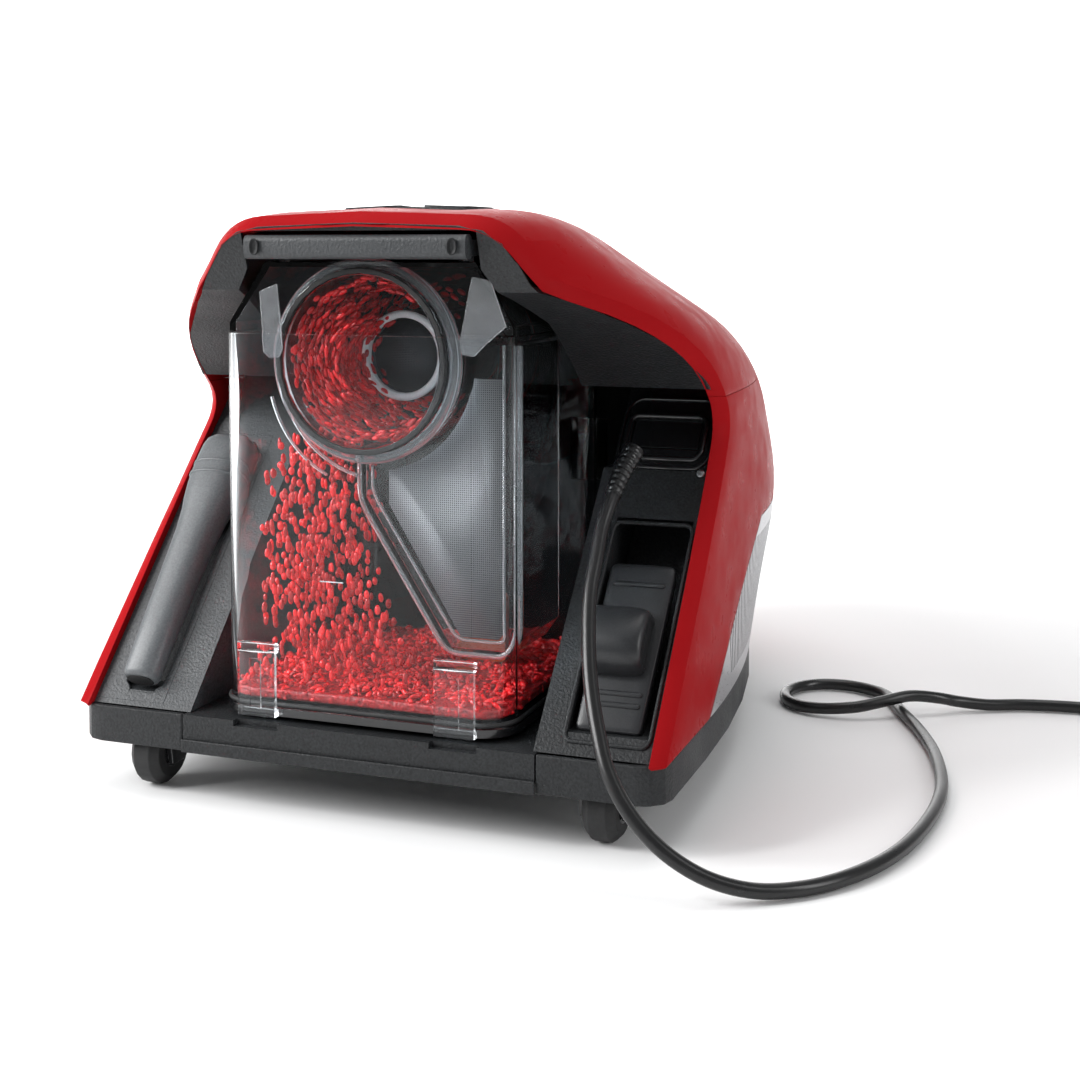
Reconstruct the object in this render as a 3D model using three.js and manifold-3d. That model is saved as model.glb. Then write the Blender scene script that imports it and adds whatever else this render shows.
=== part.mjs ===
// Bagless canister vacuum cleaner: a wheeled base, a two-part outer shell, a clear dust bin with a
// horizontal cyclone, tool bays on both sides of the bin, a motor, a cord reel and its mains cord.
// Millimetres, +Z up. The origin is on the floor under the middle of the body. The dust bin faces -Y,
// the hose socket faces +Y and X is to the right seen from the bin.
import * as THREE from 'three';
import { mergeVertices } from 'three/addons/utils/BufferGeometryUtils.js';
import Module from 'manifold-3d';

const wasm = await Module();
wasm.setup();

// ---- driving dimensions ----
const GAP = 0.3; // clearance between pieces that touch
const RUN = 0.08; // radial clearance of a shaft in its hole

const HALF_LENGTH = 243;
const HALF_WIDTH = 160;
const HEIGHT = 306;
const SHELL = 4; // outer shell thickness
const BASE_HEIGHT = 19;
const BASE_WALL = 3;
const CASTER = { r: 18, width: 17, trail: 11, sunk: 10, well: 32, axle: 3, cheek: 3, play: 0.6 };
const CUP = { wall: 2, flange: 4, rise: 4, roof: 3, stem: 4 };
const BASE_BOTTOM = 2 * CASTER.r - CASTER.sunk;
const BASE_TOP = BASE_BOTTOM + BASE_HEIGHT;
const CUP_CEILING = 2 * CASTER.r + CUP.rise; // inside height of a caster's well
const REAR = -HALF_LENGTH;
const NOSE = HALF_LENGTH;

const FLARE_START = REAR + 183; // where the plan starts to narrow towards the nose
const KEEL_START = REAR + 78; // the same at the base, which is undercut
const KEEL_NOSE = NOSE - 18;
const NOSE_HEIGHT = 110;
const NOSE_UNDERCUT = 26;
const UNDERCUT_START = NOSE - 123;
const ROOF_PEAK = REAR + 73; // station of the highest point of the roof
const REAR_DROP = 6; // how far the roof falls from there to the rear end
const SHOULDER = { start: REAR + 113, half: HALF_WIDTH - 3, height: HEIGHT - 68, tuck: 0.0047 };
const ROOF_EDGE = { half: 77, taper: 0.16, drop: 3 };
const SEAM = HEIGHT - 100; // joint between side shells and hood

// Slanted rear opening and visor in side view, as (y, z).
const RIM_FOOT = [REAR - 2, BASE_TOP];
const RIM_ELBOW = [REAR + 131, HEIGHT - 114];
const VISOR = [REAR + 17, HEIGHT - 44];
const VISOR_TOP = [REAR + 7, HEIGHT - 15];
const PANEL_SINK = 4; // rear panels lie this far inside the rim plane
const BEZEL_THICK = 3;
const PANEL_TOP = HEIGHT - 96; // upper end of the rear panels

const BIN = {
  half: 79, front: REAR + 7, depth: 156, bottom: BASE_TOP + 7, top: HEIGHT - 65, corner: 18, wall: 2.5,
};
const BIN_BACK = BIN.front + BIN.depth;
const LID = { top: HEIGHT - 29, shoulder: 58, eave: HEIGHT - 60, front: BIN.front + 14, wall: 2.5 };
const TRAY_THICK = 4.4;
const CLIP = { x: 54, width: 21, height: 38, thick: 4 };
const DRUM = { x: -5, r: 47, wall: 2.5, front: LID.front + 4, back: BIN_BACK - 16, cover: 3 };
const DRUM_Z = LID.top - 3 - DRUM.r;
const VORTEX = { r: 23.5, wall: 3.5, front: DRUM.front + 53 };
const CHAMBER = { front: BIN.front + 30, depth: 54, wall: 2, left: -12, foot: BIN.bottom + 28 };
const HEAP = 9;

const BAY_ROOM = 15; // free width on each side of the dust bin
const BAY_HALF = BIN.half + BAY_ROOM;
const BAY_BACK = BIN_BACK + 14;
const PANEL_WALL = 3;

const BAR = { half: 60, rise: 1.5, height: 12, front: REAR + 3, depth: 9 };
const BAR_BACK = BAR.front + BAR.depth;
const BAR_BOTTOM = LID.top + BAR.rise;
const BAR_TOP = BAR_BOTTOM + BAR.height;
const BAR_PIVOT = { y: BAR_BACK + 5, z: LID.top + 7, r: 2.5, lug: 6 };

const REAR_CASTER = [HALF_WIDTH - 35, REAR + 34];
const FRONT_CASTER = [58, KEEL_NOSE - 92];
const LIP = { half: REAR_CASTER[0] - 29, front: REAR + 46 };

const OUTLET = {
  bottom: PANEL_TOP - 43,
  x0: BAY_HALF + 4.5,
  x1: HALF_WIDTH - 8,
  slotX0: 105,
  slotX1: 143,
  slotZ0: PANEL_TOP - 33,
  slotZ1: PANEL_TOP - 17,
};
const POCKET = {
  x0: BAY_HALF + 14, x1: HALF_WIDTH - 11, z0: BASE_TOP + 9, z1: OUTLET.bottom - 23, depth: 30,
};
const TROUGH = { x0: 9 - HALF_WIDTH, width: 38, z0: BASE_TOP + 7, z1: PANEL_TOP - 35, depth: 14 };
const CREVICE = { wide: 22, deep: 20, tipWide: 15, tipDeep: 13, lean: 0.085 };
const NOZZLE = { wide: 32, tipWide: 36, thick: 7, length: 84, neck: 16, bore: 12 };

const TOP_PANEL = { half: 46, rear: REAR + 38, front: NOSE - 121 };
const TUB = { half: 43, depth: 30, wall: 2.5, behind: 37, ahead: 29 };
const TUB_REAR = BAY_BACK + TUB.behind;
const TUB_FRONT = TOP_PANEL.front - TUB.ahead;
const BUTTON = { x: 23, w: 34, l: 46, depth: 9, proud: 1.2 };
const DIAL = { r: 21, depth: 9 };
const ROOF_SPACE = (TUB_REAR - TOP_PANEL.rear - BUTTON.l - DIAL.r * 2) / 3; // between controls
const BUTTON_Y = TOP_PANEL.rear + ROOF_SPACE + BUTTON.l / 2;
const DIAL_Y = BUTTON_Y + BUTTON.l / 2 + ROOF_SPACE + DIAL.r;
const BAIL = { half: TUB.half - 6, play: 8, arm: 9, bar: 18, thick: 12, pin: 3, end: 12 };
const BAIL_PIVOT = TUB_FRONT - BAIL.end;
const PORT = { y: NOSE - 67, sunk: 5, tilt: 48, r: 29, bore: 19, length: 62, proud: 20, ring: 6 };

// Side view of the silver vent panel: its rear edge runs parallel to the opening.
const VENT = { rear: REAR + 85, slope: 1.6, height: 83, front: NOSE - 147, lean: 0.35, pitch: 13 };

const MOTOR = { x: -52, y: (BAY_BACK + NOSE - 53) / 2, z: 128, r: 56, length: 112, wall: 3 };
const FILTER = { x: -54, width: 98, depth: 30, z0: 62, z1: 150, pleat: 6, pitch: 10 };
const REEL = { x: 74, y: BAY_BACK + 94, z: 128, r: 64, hub: 26, width: 52, flange: 2.5, winding: 60 };
const CORD_D = 7;
const FAR = 600; // beyond every side of the body

// ---- materials ----
function plastic(color, roughness, metalness = 0) {
  return new THREE.MeshStandardMaterial({ color, roughness, metalness });
}
const RED = plastic(0x9b1c21, 0.18);
const DARK = plastic(0x303234, 0.62);
const GREY = plastic(0x4b5052, 0.6);
const BLACK = plastic(0x101113, 0.3);
const SILVER = plastic(0xaaaaaa, 0.4, 0.5);
const WHITE = plastic(0xd8d8d8, 0.5);
const ORANGE = plastic(0x9a3a12, 0.45);
const RUBBER = plastic(0x161616, 0.85);
const CLEAR = new THREE.MeshStandardMaterial({
  color: 0xdfe6ea,
  roughness: 0.08,
  transparent: true,
  opacity: 0.3,
});
const STEEL = plastic(0x9a9c9e, 0.35, 1);
const GRANULE = plastic(0xb0161a, 0.5);

// ---- solids ----
const AXIS_X = new THREE.Vector3(1, 0, 0);
const AXIS_Y = new THREE.Vector3(0, 1, 0);
const AXIS_Z = new THREE.Vector3(0, 0, 1);

function toSolid(geometry) {
  const bare = geometry.clone();
  bare.deleteAttribute('normal');
  bare.deleteAttribute('uv');
  const merged = mergeVertices(bare, 1e-4);
  const vertProperties = new Float32Array(merged.attributes.position.array);
  const triVerts = new Uint32Array(merged.index.array);
  return new wasm.Manifold(new wasm.Mesh({ numProp: 3, vertProperties, triVerts }));
}

function toGeometry(solid) {
  const mesh = solid.getMesh();
  const geometry = new THREE.BufferGeometry();
  geometry.setAttribute('position', new THREE.BufferAttribute(mesh.vertProperties, 3));
  geometry.setIndex(new THREE.BufferAttribute(mesh.triVerts, 1));
  geometry.computeVertexNormals();
  return geometry;
}

const join = (first, ...rest) => rest.reduce((a, b) => a.add(b), first);
const cut = (first, ...rest) => rest.reduce((a, b) => a.subtract(b), first);
const meet = (first, ...rest) => rest.reduce((a, b) => a.intersect(b), first);

function block(x0, x1, y0, y1, z0, z1) {
  const geometry = new THREE.BoxGeometry(x1 - x0, y1 - y0, z1 - z0);
  geometry.translate((x0 + x1) / 2, (y0 + y1) / 2, (z0 + z1) / 2);
  return toSolid(geometry);
}

function rod(axis, r, start, end, segments = 24) {
  const length = end.distanceTo(start);
  const geometry = new THREE.CylinderGeometry(r, r, length, segments);
  geometry.applyQuaternion(new THREE.Quaternion().setFromUnitVectors(AXIS_Y, axis));
  const mid = start.clone().add(end).multiplyScalar(0.5);
  geometry.translate(mid.x, mid.y, mid.z);
  return toSolid(geometry);
}

const rodX = (r, x0, x1, y, z, segments) =>
  rod(AXIS_X, r, new THREE.Vector3(x0, y, z), new THREE.Vector3(x1, y, z), segments);
const rodY = (r, y0, y1, x, z, segments) =>
  rod(AXIS_Y, r, new THREE.Vector3(x, y0, z), new THREE.Vector3(x, y1, z), segments);
const rodZ = (r, z0, z1, x, y, segments) =>
  rod(AXIS_Z, r, new THREE.Vector3(x, y, z0), new THREE.Vector3(x, y, z1), segments);

function outline(points) {
  const shape = new THREE.Shape();
  shape.setFromPoints(points.map(([a, b]) => new THREE.Vector2(a, b)));
  return shape;
}

function roundedRect(x0, x1, y0, y1, r) {
  const shape = new THREE.Shape();
  shape.absarc(x1 - r, y0 + r, r, -Math.PI / 2, 0);
  shape.absarc(x1 - r, y1 - r, r, 0, Math.PI / 2);
  shape.absarc(x0 + r, y1 - r, r, Math.PI / 2, Math.PI);
  shape.absarc(x0 + r, y0 + r, r, Math.PI, Math.PI * 1.5);
  return shape;
}

function extruded(shape, depth, basis, offset, curveSegments) {
  const options = { depth, bevelEnabled: false, curveSegments };
  const geometry = new THREE.ExtrudeGeometry(shape, options);
  geometry.applyMatrix4(new THREE.Matrix4().makeBasis(...basis).setPosition(offset));
  return toSolid(geometry);
}

// plan outline (x, y) raised along Z
const prismZ = (shape, z0, z1, segments = 6) =>
  extruded(shape, z1 - z0, [AXIS_X, AXIS_Y, AXIS_Z], new THREE.Vector3(0, 0, z0), segments);
// side outline (y, z) run along X
const prismX = (shape, x0, x1, segments = 6) =>
  extruded(shape, x1 - x0, [AXIS_Y, AXIS_Z, AXIS_X], new THREE.Vector3(x0, 0, 0), segments);
// rear outline (x, z) run along Y
function prismY(shape, y0, y1, segments = 6) {
  const basis = [AXIS_X, AXIS_Z, AXIS_Y.clone().negate()];
  return extruded(shape, y1 - y0, basis, new THREE.Vector3(0, y1, 0), segments);
}

// ---- body form ----
const ellipse = (t) => Math.sqrt(Math.max(0, 1 - t * t));

function planHalf(y, inset) {
  const run = HALF_LENGTH - inset - FLARE_START;
  const t = Math.max(0, (y - FLARE_START) / run);
  return (HALF_WIDTH - inset) * Math.pow(Math.max(0, 1 - Math.pow(t, 2.2)), 1 / 2.2);
}

function keelHalf(y, inset) {
  const t = Math.max(0, (y - KEEL_START) / (KEEL_NOSE - inset - KEEL_START));
  return Math.max((HALF_WIDTH - inset) * ellipse(t), planHalf(y, inset) * 0.3);
}

function roofHeight(y, inset) {
  const front = Math.max(0, (y - ROOF_PEAK) / (HALF_LENGTH - inset - ROOF_PEAK));
  const rear = Math.max(0, (ROOF_PEAK - y) / (HALF_LENGTH + ROOF_PEAK));
  const rise = (HEIGHT - NOSE_HEIGHT - inset) * ellipse(front);
  return NOSE_HEIGHT + rise - REAR_DROP * rear * rear;
}

// The shoulder is widest at its start. It narrows to the nose, and it tucks in towards the rear.
function shoulderHalf(y, inset) {
  const t = Math.max(0, (y - SHOULDER.start) / (HALF_LENGTH - inset - SHOULDER.start));
  const back = Math.max(0, SHOULDER.start - y);
  return (SHOULDER.half - inset) * ellipse(t) - SHOULDER.tuck * back * back;
}

// Points of a corner rounded by a quadratic curve that reaches the same way along both edges.
function corner(before, at, after, reach, steps) {
  const toBefore = before.clone().sub(at);
  const toAfter = after.clone().sub(at);
  const span = Math.min(reach, toBefore.length() * 0.46, toAfter.length() * 0.46);
  const start = at.clone().add(toBefore.setLength(span));
  const end = at.clone().add(toAfter.setLength(span));
  return new THREE.QuadraticBezierCurve(start, at, end).getPoints(steps);
}

// Half of the cross-section at station y, from the roof's middle down to the foot, as (x, z).
function halfSection(y, inset, foot) {
  const wide = planHalf(y, inset);
  const top = roofHeight(y, inset);
  const rise = (top - NOSE_HEIGHT) / (HEIGHT - NOSE_HEIGHT);
  const shoulderZ = NOSE_HEIGHT + (SHOULDER.height - NOSE_HEIGHT) * rise;
  const shoulderX = shoulderHalf(y, inset);
  const edge = ROOF_EDGE.half - ROOF_EDGE.taper * Math.max(0, y - ROOF_PEAK) - inset * 0.5;
  const roofX = Math.min(edge, shoulderX * 0.8);
  const crown = new THREE.Vector2(0, top);
  const roof = new THREE.Vector2(roofX, top - ROOF_EDGE.drop * rise);
  const shoulder = new THREE.Vector2(shoulderX, shoulderZ);
  const waist = new THREE.Vector2(wide, BASE_TOP + (shoulderZ - BASE_TOP) * 0.52);
  const keel = keelHalf(y, inset);
  const sill = new THREE.Vector2(keel, BASE_TOP + GAP);
  const bottom = new THREE.Vector2(keel, foot);
  return [
    crown,
    ...corner(crown, roof, shoulder, 20, 3),
    ...corner(roof, shoulder, waist, 34, 4),
    ...corner(shoulder, waist, sill, 30, 2),
    sill,
    ...(foot < sill.y ? [bottom] : []),
  ];
}

function sectionRing(y, inset, foot) {
  const half = halfSection(y, inset, foot);
  const ahead = Math.max(0, (y - UNDERCUT_START) / (HALF_LENGTH - inset - UNDERCUT_START));
  const place = (side) => (p) => {
    const low = THREE.MathUtils.clamp((NOSE_HEIGHT - p.y) / (NOSE_HEIGHT - BASE_TOP), 0, 1);
    return new THREE.Vector3(side * p.x, y - NOSE_UNDERCUT * ahead * low * low, p.y);
  };
  const right = half.map(place(1)).reverse();
  const left = half.slice(1).map(place(-1));
  return [...right, ...left];
}

function bodyStations(inset) {
  const rear = [-19, 8, 38, 78, 113, 148].map((step) => REAR + step);
  const front = [];
  const steps = 9;
  for (let i = 0; i <= steps; i += 1) {
    const angle = (i / steps) * THREE.MathUtils.degToRad(86);
    front.push(FLARE_START + (HALF_LENGTH - inset - FLARE_START) * Math.sin(angle));
  }
  return [...rear, ...front];
}

// The whole outer form, shrunk by inset, down to z = foot.
function bodyForm(inset, foot = BASE_TOP + GAP) {
  const rings = bodyStations(inset).map((y) => sectionRing(y, inset, foot));
  const count = rings[0].length;
  const positions = [];
  const put = (...points) => points.forEach((p) => positions.push(p.x, p.y, p.z));
  for (let i = 0; i + 1 < rings.length; i += 1) {
    for (let j = 0; j < count; j += 1) {
      const k = (j + 1) % count;
      put(rings[i][j], rings[i + 1][j], rings[i + 1][k]);
      put(rings[i][j], rings[i + 1][k], rings[i][k]);
    }
  }
  const last = rings.length - 1;
  for (let j = 1; j + 1 < count; j += 1) {
    put(rings[0][0], rings[0][j], rings[0][j + 1]);
    put(rings[last][0], rings[last][j + 1], rings[last][j]);
  }
  const geometry = new THREE.BufferGeometry();
  geometry.setAttribute('position', new THREE.Float32BufferAttribute(positions, 3));
  return toSolid(geometry);
}

const outer = bodyForm(0);
const inner = bodyForm(SHELL, BASE_TOP - 20);
const cavity = bodyForm(SHELL + GAP + 0.2, BASE_TOP + GAP);
const shellBand = cut(outer, inner);

// Everything behind the slanted opening and below the visor, as a side outline run across the body.
function rearOpening(grow = 0) {
  const shape = new THREE.Shape();
  const [footY, footZ] = RIM_FOOT;
  const [elbowY, elbowZ] = RIM_ELBOW;
  const [visorY, visorZ] = VISOR;
  const [topY, topZ] = VISOR_TOP;
  const g = grow;
  shape.moveTo(-FAR, footZ - 30);
  shape.lineTo(footY - 20 + g, footZ - 22 - g);
  shape.lineTo(footY + g, footZ);
  shape.lineTo(elbowY - 14 + g, elbowZ - 14);
  shape.quadraticCurveTo(elbowY + g, elbowZ, elbowY - 12, elbowZ + 12 + g);
  shape.quadraticCurveTo(elbowY - 58, elbowZ + 54 + g, visorY, visorZ + g);
  shape.lineTo(topY + g * 0.3, topZ + g);
  shape.lineTo(topY - 1, topZ + 4 + g);
  shape.lineTo(-FAR, topZ + 4 + g);
  return prismX(shape, -FAR, FAR, 8);
}

const opening = rearOpening();
const tailCut = block(-FAR, FAR, -FAR, REAR + 3, SEAM - 6, FAR);

// ---- outer shell ----
function ventOutline(grow) {
  const high = BASE_TOP + VENT.height;
  return outline([
    [VENT.rear - grow, BASE_TOP - 5],
    [VENT.front + VENT.lean * VENT.height + grow, BASE_TOP - 5],
    [VENT.front + grow, high + grow],
    [VENT.rear + VENT.slope * VENT.height - grow, high + grow],
  ]);
}

const outboard = (side, shape) =>
  (side > 0 ? prismX(shape, HALF_WIDTH * 0.4, FAR) : prismX(shape, -FAR, -HALF_WIDTH * 0.4));

function sideShell(side) {
  const zone = side > 0
    ? block(GAP / 2, FAR, -FAR, FAR, BASE_TOP, SEAM - GAP / 2)
    : block(-FAR, -GAP / 2, -FAR, FAR, BASE_TOP, SEAM - GAP / 2);
  return cut(meet(shellBand, zone), opening, outboard(side, ventOutline(GAP)), portHole());
}

function hood() {
  const zone = block(-FAR, FAR, -FAR, FAR, SEAM + GAP / 2, FAR);
  const panelZone = prismZ(topPanelOutline(GAP), BASE_TOP, FAR, 5);
  return cut(meet(shellBand, zone), opening, tailCut, panelZone, portHole());
}

function ventPanel(side) {
  const skin = cut(bodyForm(0.4), bodyForm(SHELL - 1, BASE_TOP - 20));
  const slots = [];
  const last = VENT.front + VENT.lean * 10;
  for (let y = VENT.rear + 58; y < last; y += VENT.pitch) {
    const reach = Math.min(VENT.height - 21, (y - VENT.rear) / VENT.slope - 14);
    slots.push(outboard(side, ventSlot(y, reach)));
  }
  return cut(meet(skin, outboard(side, ventOutline(0))), ...slots);
}

function ventSlot(y, reach) {
  const foot = BASE_TOP + 10;
  const width = 3;
  const lean = reach * 0.3;
  return outline([[y, foot], [y + width, foot], [y + width - lean, foot + reach], [y - lean, foot + reach]]);
}

// ---- roof pieces ----
function topPanelOutline(grow) {
  const { half, rear, front } = TOP_PANEL;
  return roundedRect(-half - grow, half + grow, rear - grow, front + grow, 16 + grow);
}

function roofLayer(depthTop, depthBottom) {
  return cut(bodyForm(depthTop), bodyForm(depthBottom, BASE_TOP - 20));
}

function tubOutline(grow) {
  const half = TUB.half + grow;
  return roundedRect(-half, half, TUB_REAR - grow, TUB_FRONT + grow, 8);
}

function topPanel() {
  const slab = meet(shellBand, prismZ(topPanelOutline(0), BASE_TOP, FAR, 5));
  const tubHole = prismZ(tubOutline(GAP), BASE_TOP, FAR, 3);
  const holes = [-1, 1].map((side) => prismZ(buttonOutline(side, GAP), BASE_TOP, FAR, 3));
  const dialHole = rodZ(DIAL.r + GAP, BASE_TOP, FAR, 0, DIAL_Y, 28);
  return cut(slab, tubHole, ...holes, dialHole);
}

function handleTub() {
  const { half, depth, wall } = TUB;
  const body = meet(roofLayer(0, depth), prismZ(tubOutline(0), BASE_TOP, FAR, 3));
  const room = cut(prismZ(tubOutline(-wall), BASE_TOP, FAR, 3), bodyForm(depth - wall, BASE_TOP - 20));
  const socket = half - wall / 3;
  return cut(body, room, rodX(BAIL.pin + RUN, -socket, socket, BAIL_PIVOT, bailPivotZ(), 24));
}

const bailPivotZ = () => roofHeight(BAIL_PIVOT, 0) - BAIL.thick / 2 - 3;

// A bail that lies flush in the handle well and swings up about pins at its front ends.
function carryHandle() {
  const { half, play, arm, bar, thick, pin } = BAIL;
  const rear = TUB_REAR + play;
  const whole = prismZ(roundedRect(-half, half, rear, BAIL_PIVOT + 4, 6), BASE_TOP, FAR, 3);
  const gap = prismZ(roundedRect(-half + arm, half - arm, rear + bar, FAR, 6), 0, FAR + 1, 3);
  const bail = meet(cut(whole, gap), roofLayer(1, 1 + thick));
  const reach = TUB.half - TUB.wall / 2;
  const pins = rodX(pin, -reach, reach, BAIL_PIVOT, bailPivotZ(), 24);
  const between = block(-half + arm, half - arm, BAIL_PIVOT - 20, BAIL_PIVOT + 20, BASE_TOP, FAR);
  return join(bail, cut(pins, between));
}

function buttonOutline(side, grow) {
  const { x, w, l } = BUTTON;
  const mid = side * x;
  const half = w / 2 - 2 + grow;
  const reach = l / 2 + grow;
  return roundedRect(mid - half, mid + half, BUTTON_Y - reach, BUTTON_Y + reach, 6 + grow);
}

function roofButton(side) {
  return meet(prismZ(buttonOutline(side, 0), BASE_TOP, FAR, 4), roofLayer(-BUTTON.proud, BUTTON.depth));
}

function suctionDial() {
  const top = roofHeight(DIAL_Y, 0) + 1;
  const knob = rodZ(DIAL.r, top - 1 - DIAL.depth, top, 0, DIAL_Y, 28);
  const grip = block(-3, 3, DIAL_Y - DIAL.r + 2, DIAL_Y + DIAL.r - 2, top - 0.5, top + 6);
  return join(knob, grip);
}

// ---- hose socket ----
const portAxis = new THREE.Vector3(
  0,
  Math.sin(THREE.MathUtils.degToRad(PORT.tilt)),
  Math.cos(THREE.MathUtils.degToRad(PORT.tilt)),
);
const portPoint = (along) =>
  new THREE.Vector3(0, PORT.y, roofHeight(PORT.y, 0) - PORT.sunk).addScaledVector(portAxis, along);
const portRod = (r, from, to, segments = 28) =>
  rod(portAxis, r, portPoint(from), portPoint(to), segments);

const portHole = () => portRod(PORT.r + GAP, -40, 60);

function hosePort() {
  const { r, length, proud, bore } = PORT;
  const tube = cut(portRod(r, proud + 2 - length, proud), portRod(bore + 2, -2, 60));
  return cut(tube, portRod(bore, -length, 40));
}

function hosePortRing() {
  const { r, proud, ring, bore } = PORT;
  return cut(portRod(r + 4, proud + GAP, proud + GAP + ring), portRod(bore + 2, 10, 60));
}

// ---- base ----
function baseOutline(inset) {
  const right = [];
  const steps = 11;
  const rearY = REAR + inset;
  const noseY = KEEL_NOSE - inset;
  const round = 14;
  for (let i = 0; i <= 3; i += 1) {
    const a = (i / 3) * (Math.PI / 2);
    right.push([HALF_WIDTH - inset - round + round * Math.sin(a), rearY + round - round * Math.cos(a)]);
  }
  for (let i = 0; i <= steps; i += 1) {
    const y = KEEL_START + (noseY - KEEL_START) * Math.sin((i / steps) * (Math.PI / 2));
    right.push([(HALF_WIDTH - inset) * ellipse((y - KEEL_START) / (noseY - KEEL_START)), y]);
  }
  const left = right.slice(0, -1).map(([x, y]) => [-x, y]).reverse();
  return outline([...right, ...left]);
}

const casterPlaces = {
  rear_left: [-REAR_CASTER[0], REAR_CASTER[1]],
  rear_right: REAR_CASTER,
  front_left: [-FRONT_CASTER[0], FRONT_CASTER[1]],
  front_right: FRONT_CASTER,
};

const lipRoom = () =>
  block(-LIP.half - GAP, LIP.half + GAP, -FAR, LIP.front + GAP, 0, BASE_TOP + 1);

// Square hole in the pan, or the flange that fills it, round a caster's well.
function cupSquare([x, y], grow) {
  const half = CASTER.well + CUP.wall + CUP.flange / 2 + grow;
  return block(x - half, x + half, y - half, y + half, BASE_BOTTOM, BASE_BOTTOM + BASE_WALL);
}

function basePan() {
  const hull = prismZ(baseOutline(0), BASE_BOTTOM, BASE_TOP);
  const hollow = prismZ(baseOutline(BASE_WALL), BASE_BOTTOM + BASE_WALL, BASE_TOP + 1);
  const inside = prismZ(baseOutline(BASE_WALL), 0, BASE_TOP);
  const squares = Object.values(casterPlaces).map((spot) => meet(cupSquare(spot, GAP), inside));
  return cut(hull, hollow, ...squares, lipRoom());
}

// Cup that closes a caster's well and carries its swivel stem.
function casterCup([x, y]) {
  const { wall, roof, stem } = CUP;
  const ring = rodZ(CASTER.well + wall, BASE_BOTTOM, CUP_CEILING + roof, x, y, 20);
  const body = meet(join(ring, cupSquare([x, y], 0)), prismZ(baseOutline(BASE_WALL + GAP), 0, BASE_TOP));
  const well = rodZ(CASTER.well, 0, CUP_CEILING, x, y, 20);
  return cut(body, well, rodZ(stem + RUN, 0, BASE_TOP, x, y, 16), lipRoom());
}

function rearLip() {
  const rear = REAR;
  const shape = roundedRect(-LIP.half, LIP.half, BASE_BOTTOM, BASE_TOP + 8, 8);
  const bar = meet(prismY(shape, rear, LIP.front), block(-FAR, FAR, -FAR, FAR, 0, BASE_TOP));
  const notches = [-1, 1].map((side) =>
    block(side * CLIP.x - CLIP.width / 2 - 2, side * CLIP.x + CLIP.width / 2 + 2,
      rear - 1, rear + 4, BASE_TOP - 3, BASE_TOP + 1));
  const hollow = block(-LIP.half + 4, LIP.half - 4, rear + 4, LIP.front - 4, 0, BASE_TOP - 5);
  return cut(bar, hollow, ...notches);
}

function binFloor() {
  const half = BAY_HALF - 5;
  return block(-half, half, LIP.front + GAP * 2, BAY_BACK - GAP, BASE_TOP - 8, BASE_TOP);
}

// ---- casters ----
function casterWheel([x, y]) {
  const { r, width } = CASTER;
  const round = 4;
  const bore = CASTER.axle + RUN;
  const profile = [[bore, -width / 2], [r - round, -width / 2], [r, -width / 2 + round],
    [r, width / 2 - round], [r - round, width / 2], [bore, width / 2], [bore, -width / 2]];
  const geometry = new THREE.LatheGeometry(profile.map(([a, b]) => new THREE.Vector2(a, b)), 20);
  geometry.rotateZ(-Math.PI / 2);
  geometry.translate(x, y - CASTER.trail, r);
  return toSolid(geometry);
}

function casterFork([x, y]) {
  const { r, width, trail, cheek, axle, play } = CASTER;
  const inside = width / 2 + play;
  const plateBottom = r * 2 + play;
  const plate = rodZ(22, plateBottom, CUP_CEILING - play, x, y, 20);
  const stem = rodZ(CUP.stem, plateBottom + 1, CUP_CEILING + CUP.roof + 1.4, x, y, 16);
  const sides = [-1, 1].map((side) => {
    const near = x + side * inside;
    const far = near + side * cheek;
    const shape = outline([[y - trail - 6, r - 6], [y - trail + 6, r - 6], [y + 14, plateBottom + 1],
      [y - 16, plateBottom + 1], [y - trail - 8, r + 6]]);
    return prismX(shape, Math.min(near, far), Math.max(near, far));
  });
  const reach = inside + cheek / 2;
  const pin = rodX(axle, x - reach, x + reach, y - trail, r, 16);
  return join(plate, stem, ...sides, pin);
}

// ---- rear panels ----
const rimSlope = (RIM_ELBOW[0] - RIM_FOOT[0]) / (RIM_ELBOW[1] - RIM_FOOT[1]);
const rimY = (z) => RIM_FOOT[0] + (z - RIM_FOOT[1]) * rimSlope;

const SLANT_RUN = 1.4; // distance along y through a sloping sheet 1 mm thick
const TRAY_WALL = 2.5;

// A sheet parallel to the rear opening, from `sink` to `sink + thick` behind its plane.
function slantedSheet(sink, thick, z0, z1) {
  const a = sink * SLANT_RUN;
  const b = (sink + thick) * SLANT_RUN;
  return outline([[rimY(z0) + a, z0], [rimY(z0) + b, z0], [rimY(z1) + b, z1], [rimY(z1) + a, z1]]);
}

const panelX = (side, x0, x1, shape) =>
  (side > 0 ? prismX(shape, x0, x1) : prismX(shape, -x1, -x0));

function panelShell(side, top) {
  const foot = BASE_TOP + GAP;
  const face = panelX(side, BAY_HALF, HALF_WIDTH, slantedSheet(PANEL_SINK, PANEL_WALL, foot, top));
  const wall = outline([[rimY(foot) + 8, foot], [BAY_BACK - 6, foot], [BAY_BACK - 6, top],
    [rimY(top) + 8, top]]);
  return meet(join(face, panelX(side, BAY_HALF, BAY_HALF + PANEL_WALL, wall)), cavity);
}

// Walls of a blind tray sunk into a rear panel, before its room is cut out.
function sunkTray(side, x0, x1, z0, z1, depth) {
  const shape = slantedSheet(PANEL_SINK, depth + TRAY_WALL, z0 - 3, z1 + 3);
  return panelX(side, x0 - TRAY_WALL, x1 + TRAY_WALL, shape);
}

// Room of such a tray, open at the panel's face.
function sunkRoom(side, x0, x1, z0, z1, depth) {
  return panelX(side, x0, x1, slantedSheet(-30, depth + 30 + PANEL_SINK, z0, z1));
}

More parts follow.
